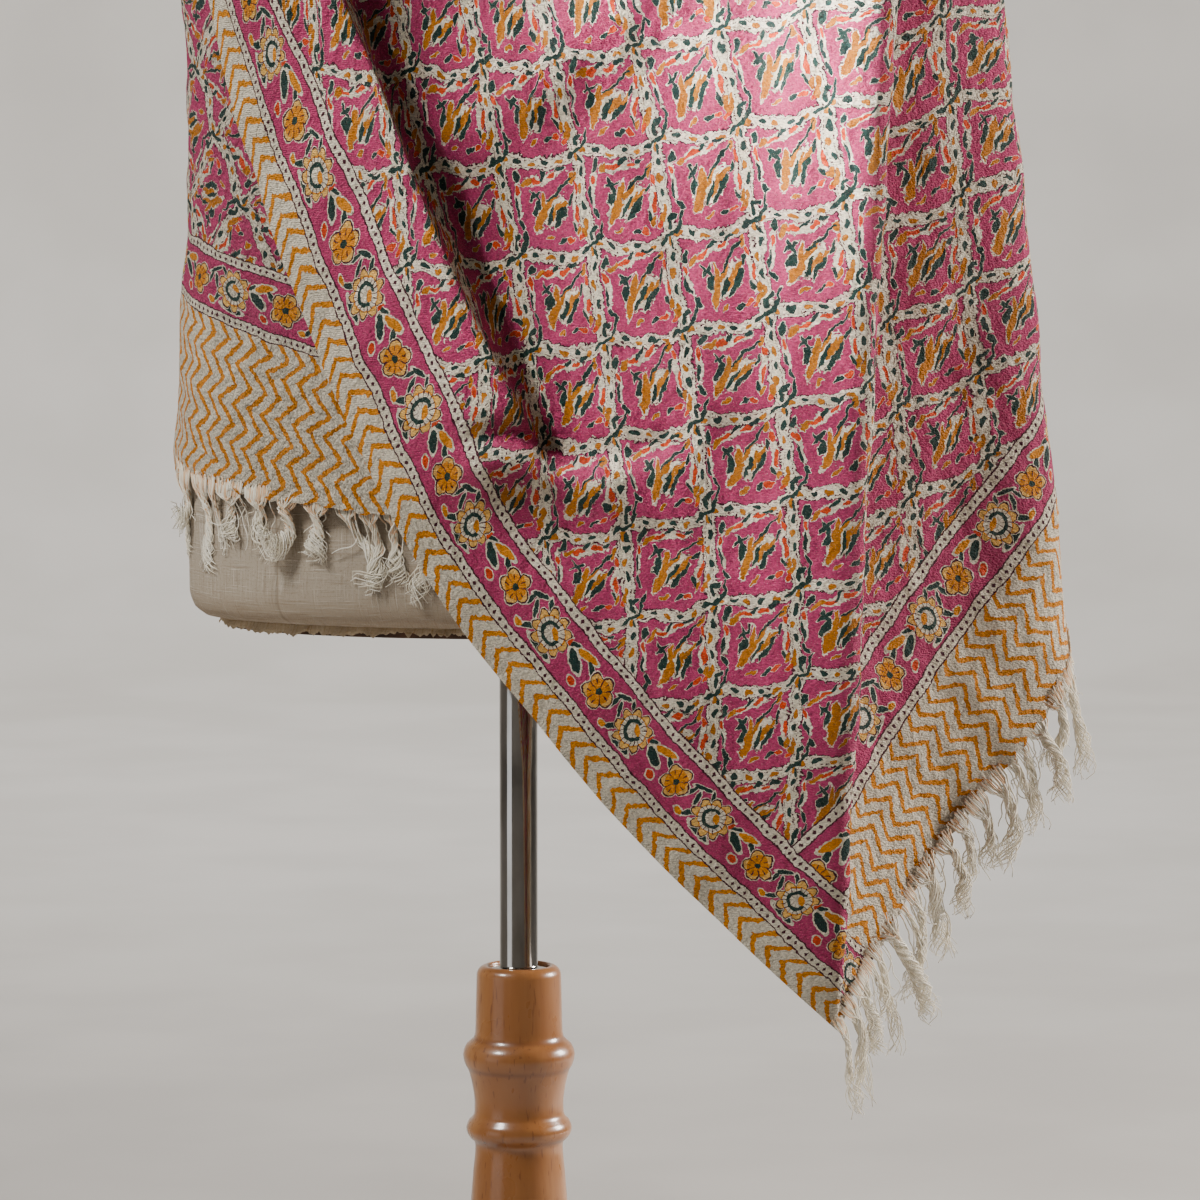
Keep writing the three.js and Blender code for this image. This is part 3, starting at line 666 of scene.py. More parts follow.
class Signal:
    """A number, colour or vector on its way through a material's nodes."""

    def __init__(self, tree: bpy.types.NodeTree, socket: bpy.types.NodeSocket) -> None:
        """Keeps the socket that gives the signal."""
        self.tree, self.socket = tree, socket

    def math(self, operation: str, *others: "Signal | float") -> "Signal":
        """Adds a Math node whose first input is this signal."""
        node = self.tree.nodes.new("ShaderNodeMath")
        node.operation = operation
        for at, value in enumerate((self, *others)):
            feed(self.tree, node.inputs[at], value)
        return Signal(self.tree, node.outputs[0])

    def __add__(self, other: "Signal | float") -> "Signal":
        """Adds."""
        return self.math("ADD", other)

    __radd__ = __add__

    def __mul__(self, other: "Signal | float") -> "Signal":
        """Multiplies."""
        return self.math("MULTIPLY", other)

    __rmul__ = __mul__

    def __sub__(self, other: "Signal | float") -> "Signal":
        """Subtracts."""
        return self.math("SUBTRACT", other)

    def __rsub__(self, other: float) -> "Signal":
        """Subtracts this signal from a number."""
        return self.math("MULTIPLY", -1.0).math("ADD", other)

    def __truediv__(self, other: "Signal | float") -> "Signal":
        """Divides."""
        return self.math("DIVIDE", other)

    def __neg__(self) -> "Signal":
        """Changes the sign."""
        return self.math("MULTIPLY", -1.0)

    def __mod__(self, other: "Signal | float") -> "Signal":
        """Gives the positive remainder."""
        return self.math("FLOORED_MODULO", other)

    def floor(self) -> "Signal":
        """Rounds down."""
        return self.math("FLOOR")

    def absolute(self) -> "Signal":
        """Drops the sign."""
        return self.math("ABSOLUTE")

    def sine(self) -> "Signal":
        """Gives the sine."""
        return self.math("SINE")

    def least(self, other: "Signal | float") -> "Signal":
        """Gives the smaller of two."""
        return self.math("MINIMUM", other)

    def most(self, other: "Signal | float") -> "Signal":
        """Gives the larger of two."""
        return self.math("MAXIMUM", other)

    def over(self, level: "Signal | float") -> "Signal":
        """Gives 1 where this signal is over a level, and else 0."""
        return self.math("GREATER_THAN", level)

    def under(self, level: "Signal | float") -> "Signal":
        """Gives 1 where this signal is under a level, and else 0."""
        return self.math("LESS_THAN", level)

    def between(
        self, low: float, high: float, out_low: float = 0.0, out_high: float = 1.0
    ) -> "Signal":
        """Maps a range smoothly to another, held at its ends."""
        node = self.tree.nodes.new("ShaderNodeMapRange")
        node.interpolation_type = "SMOOTHSTEP"
        for at, value in enumerate((self, low, high, out_low, out_high)):
            feed(self.tree, node.inputs[at], value)
        return Signal(self.tree, node.outputs[0])


def feed(tree: bpy.types.NodeTree, target: bpy.types.NodeSocket, value: object) -> None:
    """Links a signal to a socket, or sets the socket to a plain value."""
    if isinstance(value, Signal):
        tree.links.new(value.socket, target)
    elif value is not None:
        target.default_value = value


def nearest(at: Signal, places: Sequence[float]) -> Signal:
    """Gives the distance to the nearest of several places."""
    gaps = [(at - place).absolute() for place in places]
    return functools.reduce(Signal.least, gaps)


class Recipe:
    """A material under construction, with its shader and its sources of signals."""

    def __init__(self, name: str) -> None:
        """Starts a material with one Principled shader."""
        self.material = bpy.data.materials.new(name)
        self.material.use_nodes = True
        self.tree = self.material.node_tree
        self.shader = self.tree.nodes["Principled BSDF"]
        self.normal: Signal | None = None

    def node(self, kind: str, inputs: dict | None = None, out: int | str = 0, **settings) -> Signal:
        """Adds any node.

        Args:
            kind: The node's type name after ShaderNode.
            inputs: Values or signals by socket name or number.
            out: The output to give.
            **settings: The node's own settings.

        Returns:
            The chosen output.
        """
        made = self.tree.nodes.new("ShaderNode" + kind)
        for key, value in settings.items():
            setattr(made, key, value)
        for key, value in (inputs or {}).items():
            feed(self.tree, made.inputs[key], value)
        return Signal(self.tree, made.outputs[out])

    def flat_place(self) -> tuple[Signal, Signal]:
        """Gives the two numbers of the piece's texture map."""
        place = self.node("UVMap", uv_map="UVMap")
        return self.split(place)[:2]

    def body_place(self) -> Signal:
        """Gives the place in the object's own frame, in metres."""
        return self.node("TexCoord", out="Object")

    def split(self, vector: Signal) -> tuple[Signal, Signal, Signal]:
        """Takes a vector apart."""
        made = self.tree.nodes.new("ShaderNodeSeparateXYZ")
        feed(self.tree, made.inputs[0], vector)
        return tuple(Signal(self.tree, made.outputs[k]) for k in range(3))

    def vector(self, x: Signal | float, y: Signal | float, z: Signal | float = 0.0) -> Signal:
        """Puts a vector together."""
        return self.node("CombineXYZ", {0: x, 1: y, 2: z})

    def scaled(self, vector: Signal, by: Light) -> Signal:
        """Multiplies a vector part by part."""
        return self.node("VectorMath", {0: vector, 1: by}, operation="MULTIPLY")

    def jitter(self, at: Signal, scale: float, detail: float = 1.0) -> tuple[Signal, ...]:
        """Gives three soft random values about zero."""
        inputs = {"Vector": at, "Scale": scale, "Detail": detail}
        return tuple(part - 0.5 for part in self.split(self.node("TexNoise", inputs, out="Color")))

    def blot(self, colour: Signal | Light, ink: object, *masks: Signal) -> Signal:
        """Lays an ink over a colour where any of the masks is 1."""
        share = masks[0]
        for mask in masks[1:]:
            share = share.most(mask)
        return self.mix(share, colour, ink)

    def noise(self, at: Signal, scale: float, detail: float = 2.0, rough: float = 0.5) -> Signal:
        """Gives soft random values about one half."""
        inputs = {"Vector": at, "Scale": scale, "Detail": detail, "Roughness": rough}
        return self.node("TexNoise", inputs)

    def mix(self, share: Signal | float, first: object, second: object) -> Signal:
        """Mixes two colours.

        Args:
            share: The second colour's share.
            first: The colour at 0.
            second: The colour at 1.

        Returns:
            The mixed colour.
        """
        made = self.tree.nodes.new("ShaderNodeMix")
        made.data_type = "RGBA"
        feed(self.tree, made.inputs[0], share)
        for at, value in ((6, first), (7, second)):
            feed(self.tree, made.inputs[at], value if isinstance(value, Signal) else (*value, 1.0))
        return Signal(self.tree, made.outputs[2])

    def relief(self, height: Signal, strength: float, distance: float) -> None:
        """Raises the surface by a height signal."""
        inputs = {"Strength": strength, "Distance": distance, "Height": height}
        self.normal = self.node("Bump", inputs)

    def finish(self, **sockets: object) -> bpy.types.Material:
        """Feeds the shader's sockets, named with underscores for spaces."""
        self.dress(self.shader, sockets)
        return self.material

    def finish_parts(
        self, share: Signal, first: Signal, second: Signal, **sockets: object
    ) -> bpy.types.Material:
        """Gives two parts of a surface a colour each, so that only one is worked out at a place.

        Args:
            share: 0 on the first part and 1 on the second.
            first: The first part's colour.
            second: The second part's colour.
            **sockets: What both parts' shaders get, named with underscores for spaces.

        Returns:
            The material.
        """
        other = self.tree.nodes.new("ShaderNodeBsdfPrincipled")
        self.dress(self.shader, {"Base_Color": first, **sockets})
        self.dress(other, {"Base_Color": second, **sockets})
        first = Signal(self.tree, self.shader.outputs[0])
        parts = {1: first, 2: Signal(self.tree, other.outputs[0])}
        mixed = self.node("MixShader", {0: share, **parts})
        feed(self.tree, self.tree.nodes["Material Output"].inputs["Surface"], mixed)
        return self.material

    def dress(self, shader: bpy.types.Node, sockets: dict[str, object]) -> None:
        """Feeds a shader's relief and its other sockets."""
        feed(self.tree, shader.inputs["Normal"], self.normal)
        for key, value in sockets.items():
            plain = isinstance(value, tuple) and len(value) == 3
            feed(self.tree, shader.inputs[key.replace("_", " ")], (*value, 1.0) if plain else value)


def paint(*screen: float) -> Light:
    """Turns a screen colour of red, green and blue from 0 to 255 into light."""
    return tuple(((c / 255 + 0.055) / 1.055) ** 2.4 if c > 10 else c / 3294 for c in screen)


class Ink(Enum):
    """The colours of the block print and of the bare wool."""

    WOOL = (232, 222, 200)
    PINK = (182, 56, 104)
    MUSTARD = (222, 138, 0)
    OCHRE = (190, 114, 0)
    ORANGE = (216, 66, 16)
    GREEN = (20, 56, 50)
    MAROON = (70, 18, 38)

    def light(self) -> Light:
        """Gives the ink as light."""
        return paint(*self.value)


# Strokes by ink: the middle's x and y, the turn in degrees, and half the length and width
Drawing = tuple[tuple[Ink, Rows], ...]


@dataclass(frozen=True)
class Stroke:
    """One oval touch of a printing block: its middle, its turn in degrees and half its size."""

    x: float
    y: float
    turn: float
    long: float
    wide: float

    def factors(self) -> tuple[float, ...]:
        """Works out the oval's squared distance, which is 1 at its rim.

        Returns:
            The factors of x*x, x*y, y*y, x, y and 1.
        """
        c, s = math.cos(math.radians(self.turn)), math.sin(math.radians(self.turn))
        a, b = 1 / self.long**2, 1 / self.wide**2
        xx, xy, yy = c * c * a + s * s * b, 2 * c * s * (a - b), s * s * a + c * c * b
        x, y = self.x, self.y
        middle = xx * x * x + xy * x * y + yy * y * y
        return xx, xy, yy, -2 * xx * x - xy * y, -2 * yy * y - xy * x, middle


def union(r: Recipe, x: Signal, y: Signal, drawing: Drawing) -> dict[Ink, Signal]:
    """Joins the strokes of each ink, three at a time in the parts of one vector.

    Args:
        r: The recipe.
        x: The place across, in millimetres.
        y: The place up.
        drawing: The strokes.

    Returns:
        The distance from each ink's nearest stroke, which is 1 at the rim.
    """
    powers = [r.vector(power, power, power) for power in (x * x, x * y, y * y, x, y)]
    joined: dict[Ink, Signal] = {}
    for ink, rows in drawing:
        nearest = None
        for first in range(0, len(rows), 3):
            three = [Stroke(*rows[min(first + k, len(rows) - 1)]).factors() for k in range(3)]
            *factors, near = zip(*three)
            for power, factor in zip(powers, factors):
                terms = {0: power, 1: factor, 2: near}
                near = r.node("VectorMath", terms, operation="MULTIPLY_ADD")
            if nearest is not None:
                near = r.node("VectorMath", {0: nearest, 1: near}, operation="MINIMUM")
            nearest = near
        a, b, c = r.split(nearest)
        joined[ink] = a.least(b).least(c).math("SQRT")
    return joined


@dataclass(frozen=True)
class WoolPrint:
    """The shawl's crinkled wool and its block print, laid out in millimetres on the flat cloth."""

    length: float = 2000.0
    width: float = 700.0
    cell: float = 57.0
    band: float = 4.05
    repeat: float = 71.0
    # Columns and rows of the lattice as it lies, by 1, y, y*y, x, x*y and x*x
    columns: tuple[float, ...] = (0.77, 3.75, -0.25, -2.8, 0.8, 0.6)
    rows: tuple[float, ...] = (2.3, -2.57, 0.27, -4.67, -0.55, 0.12)
    pulled: tuple[float, float] = (640.0, 500.0)
    # One pink cell: patches of bare wool, a leaning bush on them and a garland
    bush: Drawing = (
        (Ink.WOOL, (
            (4.6, -5.0, 50, 14.0, 7.4), (-6.0, -8.6, 64, 10.5, 5.0), (-3.0, 15.2, 8, 19.0, 3.3),
            (-22.0, 3.0, 92, 14.0, 2.5), (20.0, -3.0, 84, 15.0, 2.9),
        )),
        (Ink.MUSTARD, (
            (-6.4, -10.2, 62, 9.2, 3.1), (-3.0, -0.4, 80, 7.0, 2.1), (3.2, 1.8, 50, 7.6, 1.7),
            (5.6, -4.8, 56, 7.2, 1.6), (11.0, -1.2, 48, 5.4, 1.4), (-15.0, 13.4, 32, 4.6, 1.9),
            (18.8, 15.0, 66, 3.8, 1.9), (21.0, -15.6, 66, 3.4, 1.6), (-2.6, -21.6, 24, 3.4, 1.3),
        )),
        (Ink.GREEN, (
            (-8.8, -3.0, 62, 5.0, 2.5), (1.2, -7.6, 60, 7.4, 1.5), (5.2, -11.0, 56, 5.8, 1.6),
            (9.2, -6.4, 50, 6.2, 1.8), (9.4, 8.2, 38, 12.5, 1.0), (-8.6, 4.9, 30, 5.0, 1.3),
            (-8.8, 4.4, 122, 5.2, 1.2), (-20.6, 17.0, 66, 3.8, 2.2), (-1.4, 17.6, 38, 3.8, 1.3),
            (11.4, 19.4, 14, 3.4, 1.4), (-22.8, -1.6, 94, 5.6, 1.1), (-20.4, -12.4, 118, 3.8, 1.5),
            (16.6, 3.4, 62, 3.8, 1.3), (17.6, -13.4, 112, 3.6, 1.3), (8.2, -22.0, 22, 3.4, 1.4),
        )),
        (Ink.ORANGE, (
            (-7.6, 14.6, 8, 4.6, 1.6), (5.4, 16.6, 14, 3.8, 1.5), (20.8, 8.8, 92, 3.4, 1.4),
            (-22.2, 8.2, 97, 3.4, 1.4), (20.8, -5.6, 82, 5.6, 1.5), (14.4, -21.2, 10, 3.2, 1.8),
        )),
    )
    # The curl and buds where two bands cross
    knot: Drawing = (
        (Ink.GREEN, (
            (8.6, 9.0, 74, 4.4, 1.1), (6.2, 3.4, 50, 3.8, 1.5), (1.0, -0.4, 16, 4.4, 1.5),
            (-5.6, -3.0, 32, 3.8, 1.5), (2.4, 8.6, 18, 3.8, 1.7), (0.6, -6.4, 96, 3.4, 1.1),
        )),
        (Ink.MUSTARD, ((-4.2, 9.6, 62, 3.6, 2.2),)),
        (Ink.ORANGE, ((-6.6, 6.2, 40, 2.2, 1.4),)),
    )
    # The leaves and buds between the border's flowers, and the bud in its daisy under OCHRE
    leaves: Drawing = (
        (Ink.GREEN, (
            (-14.0, 8.6, 152, 5.0, 1.3), (-11.0, 3.0, 100, 3.6, 1.2), (-16.5, 2.0, 60, 4.4, 1.3),
            (10.5, 4.5, 28, 4.0, 1.5), (20.5, 0.5, 205, 6.4, 2.6), (26.5, 6.0, 150, 4.2, 1.2),
            (-19.5, -6.5, 128, 4.6, 1.6), (-31.0, -10.6, 4, 7.8, 2.0), (-22.0, 9.6, 45, 3.6, 1.2),
        )),
        (Ink.MUSTARD, ((16.5, 7.5, 166, 6.6, 2.2), (-14.0, -10.0, 12, 2.8, 1.7))),
        (Ink.ORANGE, ((14.5, -8.5, 20, 3.2, 2.0), (-42.6, 4.5, 96, 3.6, 1.8))),
        (Ink.OCHRE, ((-33.0, 2.0, 30, 3.2, 1.9),)),
    )
    # Depths from the cloth's edge: chevrons, dotted cord, flowers, dotted cord
    vee_pitch: float = 11.8
    zig_pitch: float = 11.2
    tick_pitch: float = 4.75
    plain_depth: float = 18.0
    cord_rims: tuple[float, ...] = (18.4, 24.1, 53.9, 59.6)
    cord_middles: tuple[float, ...] = (21.2, 56.7)
    flower_depths: tuple[float, float] = (24.5, 53.5)
    border_depth: float = 60.0

    def make(self) -> bpy.types.Material:
        """Builds the material."""
        r = Recipe("printed_wool")
        u, v = self.flat(r)
        at = r.vector(u, v)
        sx, sy, _ = r.jitter(at, 0.045)
        rx, ry, _ = r.jitter(at, 0.42, 2.0)
        lx, ly, _ = r.jitter(at, 0.11)
        pu = u + sx * 5.0 + rx * 2.2
        pv = v + sy * 5.0 + ry * 2.2
        edge = self.edge_distance(pu, pv)
        inside = self.field_colour(r, pu + lx * 6.0, pv + ly * 6.0)
        border = self.edge_colour(r, pu, pv, edge)
        inside, border = self.weave_colours(r, u, v, inside, border)
        self.weave_relief(r, u, v)
        wool = {"Roughness": 0.9, "Specular_IOR_Level": 0.15, "Sheen_Weight": 0.06}
        return r.finish_parts(edge["depth"].under(self.border_depth), inside, border, **wool)

    def flat(self, r: Recipe) -> tuple[Signal, Signal]:
        """Gives the place on the flat cloth in millimetres, from the texture map."""
        along, across = r.flat_place()
        return along * MAP_SPAN + MAP_START, across * self.width

    def lattice(self, u: Signal, v: Signal) -> tuple[Signal, Signal]:
        """Gives the lattice's columns and rows, counted in cells.

        Args:
            u: The place along the cloth.
            v: The place across it.

        Returns:
            The column and the row.
        """
        cu, cv = u.least(self.pulled[0]), v.least(self.pulled[1])
        x, y = cu / 250.0 - 1.0, cv / 250.0 - 1.0
        terms = (y, y * y, x, x * y, x * x)
        step = 1 / (self.cell * math.sqrt(2))
        found = []
        for start, *factors in (self.columns, self.rows):
            total = terms[0] * factors[0] + start
            for term, factor in zip(terms[1:], factors[1:]):
                total = total + term * factor
            found.append(total)
        du, dv = u - cu, v - cv
        return found[0] + (dv - du) * step, found[1] - (du + dv) * step

    def field_colour(self, r: Recipe, u: Signal, v: Signal) -> Signal:
        """Prints the field: a lattice of cream bands round pink cells with a bush in each.

        Args:
            r: The cloth's material.
            u: Along the cloth.
            v: Across the cloth.

        Returns:
            The field's colour.
        """
        column, row = self.lattice(u, v)
        across, down = column - column.floor(), row - row.floor()
        cell_at = r.vector((across - 0.5) * self.cell, (0.5 - down) * self.cell)
        cell = r.vector(column.floor(), row.floor())
        jog_x, jog_y, jog_turn = (
            part - 0.5 for part in r.split(r.node("TexWhiteNoise", {"Vector": cell}, out="Color"))
        )
        jog = r.vector(jog_x * 2.4, jog_y * 2.4)
        cell_at = r.node("VectorMath", {0: cell_at, 1: jog}, operation="ADD")
        cell_at = r.node("VectorRotate", {"Vector": cell_at, "Angle": jog_turn * 0.44})
        near_column = (column - (column + 0.5).floor()) * self.cell
        near_row = ((row + 0.5).floor() - row) * self.cell
        inks = union(r, *r.split(cell_at)[:2], self.bush)
        for ink, near in union(r, near_column, near_row, self.knot).items():
            inks[ink] = inks[ink].least(near)
        offset_a = near_row + across * across * (1.0 - across) * 40.0
        offset_b = near_column + (down * math.pi).sine() * 1.8
        halo = inks[Ink.GREEN].least(inks[Ink.MUSTARD]).least(inks[Ink.ORANGE])
        flow = r.vector((u + v) * 0.7, (u - v) * 0.24)
        worn = (r.noise(r.vector(u, v), 0.6, 1.0) + r.noise(flow, 1.0, 1.0)) * 0.5
        jag = worn - 0.5
        near_band = offset_a.absolute().least(offset_b.absolute() * 0.88) + jag * 5.0
        patch = inks[Ink.WOOL] + jag * 1.3
        bare = (halo + jag * 1.1).under(1.16), patch.under(0.88)
        colour = r.blot(Ink.PINK.light(), Ink.WOOL.light(), *bare)
        patch_rim = (patch - 0.88).absolute().under(0.045) * worn.over(0.49)
        colour = r.mix(patch_rim * 0.8, colour, Ink.MAROON.light())
        colour = r.mix(near_band.under(self.band), colour, Ink.WOOL.light())
        line = (near_band - self.band).absolute().under(0.38) * worn.over(0.43)
        inner = (near_band - self.band * 0.6).absolute().under(0.26) * worn.over(0.5)
        colour = r.blot(colour, Ink.MAROON.light(), line, inner)
        colour = self.band_spots(r, colour, offset_a, across, 2.7, 0.5)
        colour = self.band_spots(r, colour, offset_b, down, 2.9, 0.7)
        marks = {Ink.MUSTARD: Ink.OCHRE, Ink.ORANGE: Ink.ORANGE, Ink.GREEN: Ink.GREEN}
        for ink, mark in marks.items():
            colour = r.mix((inks[ink] + jag * 0.9).under(1.0), colour, mark.light())
        return colour

    def band_spots(
        self, r: Recipe, colour: Signal, offset: Signal, run: Signal, long: float, shift: float
    ) -> Signal:
        """Prints green and mustard spots by turns along a band.

        Args:
            r: The recipe.
            colour: What is printed so far.
            offset: The distance from the band's middle.
            run: The share of the way from one crossing to the next.
            long: Half a spot's length.
            shift: How far the two kinds stand off the middle.

        Returns:
            The colour with the spots.
        """
        count = 6
        paced = run * count
        green = (paced.floor() % 2.0).over(0.5)
        x = (paced - paced.floor() - 0.5) * (self.cell / count / long)
        y = (offset - (green * 2.0 - 1.0) * shift) / 1.6
        spot = (x * x + y * y).under(1.0)
        ink = r.mix(green, Ink.OCHRE.light(), Ink.GREEN.light())
        return r.mix(spot, colour, ink)

    def edge_distance(self, u: Signal, v: Signal) -> dict[str, Signal]:
        """Measures from the cloth's edges.

        Args:
            u: The place along the cloth.
            v: The place across it.

        Returns:
            The border's depth, the place along it, and 1 where it runs along a long edge.
        """
        side = v.least(self.width - v)
        front = (u - 57.5) * 0.877 + 21.25
        under = (1910.0 - u) * 1.03 + 21.25
        long = side.under(self.border_depth)
        end = front.least(under)
        depth = end + long * (side - end)
        # Where the flowers start along each edge, and how far each edge's repeat is stretched
        along_side = (u - 105.0) * (self.repeat / 68.5) - (u - 242.0).most(0.0) * 0.115
        along_front = (v - 214.0) * (self.repeat / 78.5)
        along_under = v - 313.0
        is_front = u.under(self.length / 2)
        along_end = along_under + is_front * (along_front - along_under)
        along = along_end + long * (along_side - along_end)
        return {"depth": depth, "along": along, "long": long, "side": side}

    def edge_colour(self, r: Recipe, u: Signal, v: Signal, edge: dict[str, Signal]) -> Signal:
        """Prints the borders.

        Args:
            r: The recipe.
            u: The place along the cloth.
            v: The place across it.
            edge: What edge_distance gives.

        Returns:
            The borders' colour.
        """
        depth, along, long = edge["depth"], edge["along"], edge["long"]
        wool, mustard, maroon = Ink.WOOL.light(), Ink.MUSTARD.light(), Ink.MAROON.light()
        vee = (u + (edge["side"] - 9.0).absolute()) % self.vee_pitch
        zig = (v + ((u % 24.0) - 12.0).absolute()) % self.zig_pitch
        uneven = r.noise(r.vector(u, v), 0.22, 2.0, 0.7)
        width = uneven.between(0.3, 0.7, 1.2, 2.7)
        vee_line = (vee - self.vee_pitch / 2).absolute().under(width)
        zig_line = (zig - self.zig_pitch / 2).absolute().under(width)
        plain = r.mix(zig_line + long * (vee_line - zig_line), wool, mustard)
        ticks = ((along % self.tick_pitch) - 2.4).absolute()
        marks = [(ticks + (depth - at).absolute() * 0.8).under(1.15) for at in self.cord_middles]
        marks += [(depth - at).absolute().under(0.42) for at in self.cord_rims]
        stripe = r.blot(wool, maroon, *marks)
        low, high = self.flower_depths
        flowers = self.flower_colour(r, depth, along)
        banded = r.mix(depth.over(low) * depth.under(high), stripe, flowers)
        return r.mix(depth.under(self.plain_depth), banded, plain)

    def flower_colour(self, r: Recipe, depth: Signal, along: Signal) -> Signal:
        """Prints the flower band: a five-petalled flower, a daisy and leaves by turns.

        Args:
            r: The recipe.
            depth: The depth from the edge.
            along: The place along the band.

        Returns:
            The band's colour.
        """
        start = 28.0
        x = ((along + self.repeat - start) % self.repeat) - (self.repeat - start)
        y = depth - 39.0
        inks = union(r, x, y, self.leaves)
        halo = inks[Ink.GREEN].least(inks[Ink.MUSTARD]).least(inks[Ink.ORANGE])
        colour = r.mix(halo.under(1.32), Ink.PINK.light(), Ink.WOOL.light())
        for ink in (Ink.MUSTARD, Ink.ORANGE, Ink.GREEN):
            colour = r.mix(inks[ink].under(1.0), colour, ink.light())
        colour = self.blossom(r, colour, x, y, 9.6, 5)
        return self.blossom(r, colour, x + 31.0, y - 0.5, 12.4, 9, inks[Ink.OCHRE])

    def blossom(
        self,
        r: Recipe,
        colour: Signal,
        x: Signal,
        y: Signal,
        size: float,
        petals: int,
        bud: Signal | None = None,
    ) -> Signal:
        """Prints one round flower.

        Args:
            r: The recipe.
            colour: What is printed so far.
            x: The place along, from the flower's middle.
            y: The place across, from the flower's middle.
            size: Its radius.
            petals: The number of petals.
            bud: For a daisy with a cream heart and a green ring, the distance from its bud.

        Returns:
            The colour with the flower.
        """
        reach = (x * x + y * y).math("SQRT")
        turn = y.math("ARCTAN2", x)
        lobe = (turn * (petals / 2)).sine().absolute()
        rim = (lobe * 0.3 + 0.7) * size
        inside = reach.under(rim)
        outline = (reach - rim).absolute().under(0.45)
        creases = lobe.under(0.16) * inside
        heart = reach / size
        petal = r.mix(heart.over(0.72), Ink.MUSTARD.light(), paint(238, 186, 96))
        if bud is not None:
            petal = r.mix(heart.under(0.66), petal, Ink.WOOL.light())
        vein = (lobe - 1.0).absolute().under(0.012) * heart.between(0.4, 0.45) * heart.under(0.72)
        colour = r.mix(reach.under(rim + 1.0), colour, Ink.WOOL.light())
        colour = r.mix(inside, colour, petal)
        colour = r.blot(colour, Ink.MAROON.light(), outline, creases, vein)
        if bud is None:
            return r.mix(heart.under(0.2), colour, Ink.GREEN.light())
        ring = (heart - 0.42).absolute().under(0.085) * turn.under(1.9)
        colour = r.mix(ring, colour, Ink.GREEN.light())
        return r.mix(bud.under(1.0), colour, Ink.MUSTARD.light())

    def weave_colours(self, r: Recipe, u: Signal, v: Signal, *colours: Signal) -> list[Signal]:
        """Varies inks: random patches, painted pucker shade and highlight, bare specks, darker
        pits.

        Args:
            r: The cloth's material.
            u: Along the cloth.
            v: Across the cloth.
            colours: The printed colours.

        Returns:
            The same colours, with patches, painted pucker shade, bare specks and pits.
        """
        at = r.vector(u, v)
        patch = r.noise(at, 0.02, 3.0).between(0.3, 0.7, 0.94, 1.06)
        grain = r.noise(at, 1.25, 2.0, 0.7)
        # Painted shade and highlight: inks darken where the relief's puckers sink and lighten where
        # they rise, over random patches.
        shade = patch * self.pucker(r, u, v).between(0.36, 0.62, 0.72, 1.12)
        bare = grain.between(0.6, 0.72, 0.0, 0.34)
        pits = grain.between(0.44, 0.32, 0.0, 0.5)
        taken = []
        for colour in colours:
            tint = r.node("HueSaturation", {"Color": colour, "Value": shade})
            tint = r.mix(bare, tint, Ink.WOOL.light())
            taken.append(r.mix(pits, tint, paint(96, 34, 58)))
        return taken

    def pucker(self, r: Recipe, u: Signal, v: Signal) -> Signal:
        """Gives the small puckers across the weave's diagonal, for relief and painted shade."""
        return r.noise(r.vector((u + v) * 0.95, (u - v) * 0.3), 1.0, 2.0, 0.6)

    def weave_relief(self, r: Recipe, u: Signal, v: Signal) -> None:
        """Raises the pebbly crinkle and the fine twill.

        Args:
            r: The cloth's material.
            u: Along the cloth.
            v: Across the cloth.
        """
        at = r.vector(u, v)
        pebble = r.noise(at, 0.7, 2.0, 0.6)
        crinkle = r.noise(at, 0.11, 2.0, 0.5)
        twill = ((u + v) * (2 * math.pi / 1.3)).sine()
        height = pebble * 0.8 + self.pucker(r, u, v) * 1.1 + crinkle * 2.2 + twill * 0.06
        r.relief(height, 1.0, 0.003)


@dataclass(frozen=True)
class Yarn:
    """The fringe's loose wool yarn, tinted where the print ran on into it."""

    name: str
    printed: float
    # A lit and a shaded copy of the undyed wool: painted light and shade, the lit one whiter than
    # the cloth's wool for the light that thin yarns catch.
    cream: Light = paint(246, 242, 228)
    shaded: Light = paint(228, 216, 188)

    def make(self) -> bpy.types.Material:
        """Builds the material; the texture map holds the yarn's number and the way along it."""
        r = Recipe(self.name)
        yarn, run = r.flat_place()
        at = r.body_place()
        own = r.node("TexWhiteNoise", {"W": (yarn * 97.0).floor()}, noise_dimensions="1D")
        fibre = r.noise(at, 900.0, 2.0)
        # Painted light and shade: each yarn's share of the shaded cream is random, with fibre
        # flecks.
        colour = r.mix(own * 0.7 + (fibre - 0.5) * 0.5, self.cream, self.shaded)
        blot = r.noise(r.vector(yarn * 53.0, run * 7.0), 1.0, 1.0)
        root = run.between(0.0, self.printed, 1.0, 0.0)
        chosen = r.node("TexWhiteNoise", {"W": (yarn * 97.0).floor() + 0.5}, noise_dimensions="1D")
        tint = (root * 0.5 + (blot - 0.5) * 2.6).between(0.32, 0.5) * root.between(0.0, 0.15)
        tint = tint * chosen.over(0.35)
        colour = r.mix(tint * 0.6, colour, paint(220, 150, 52))
        r.relief(r.noise(at, 1400.0, 1.0), 0.5, 0.0003)
        return r.finish(
            Base_Color=colour, Roughness=0.92, Specular_IOR_Level=0.2, Sheen_Weight=0.5
        )


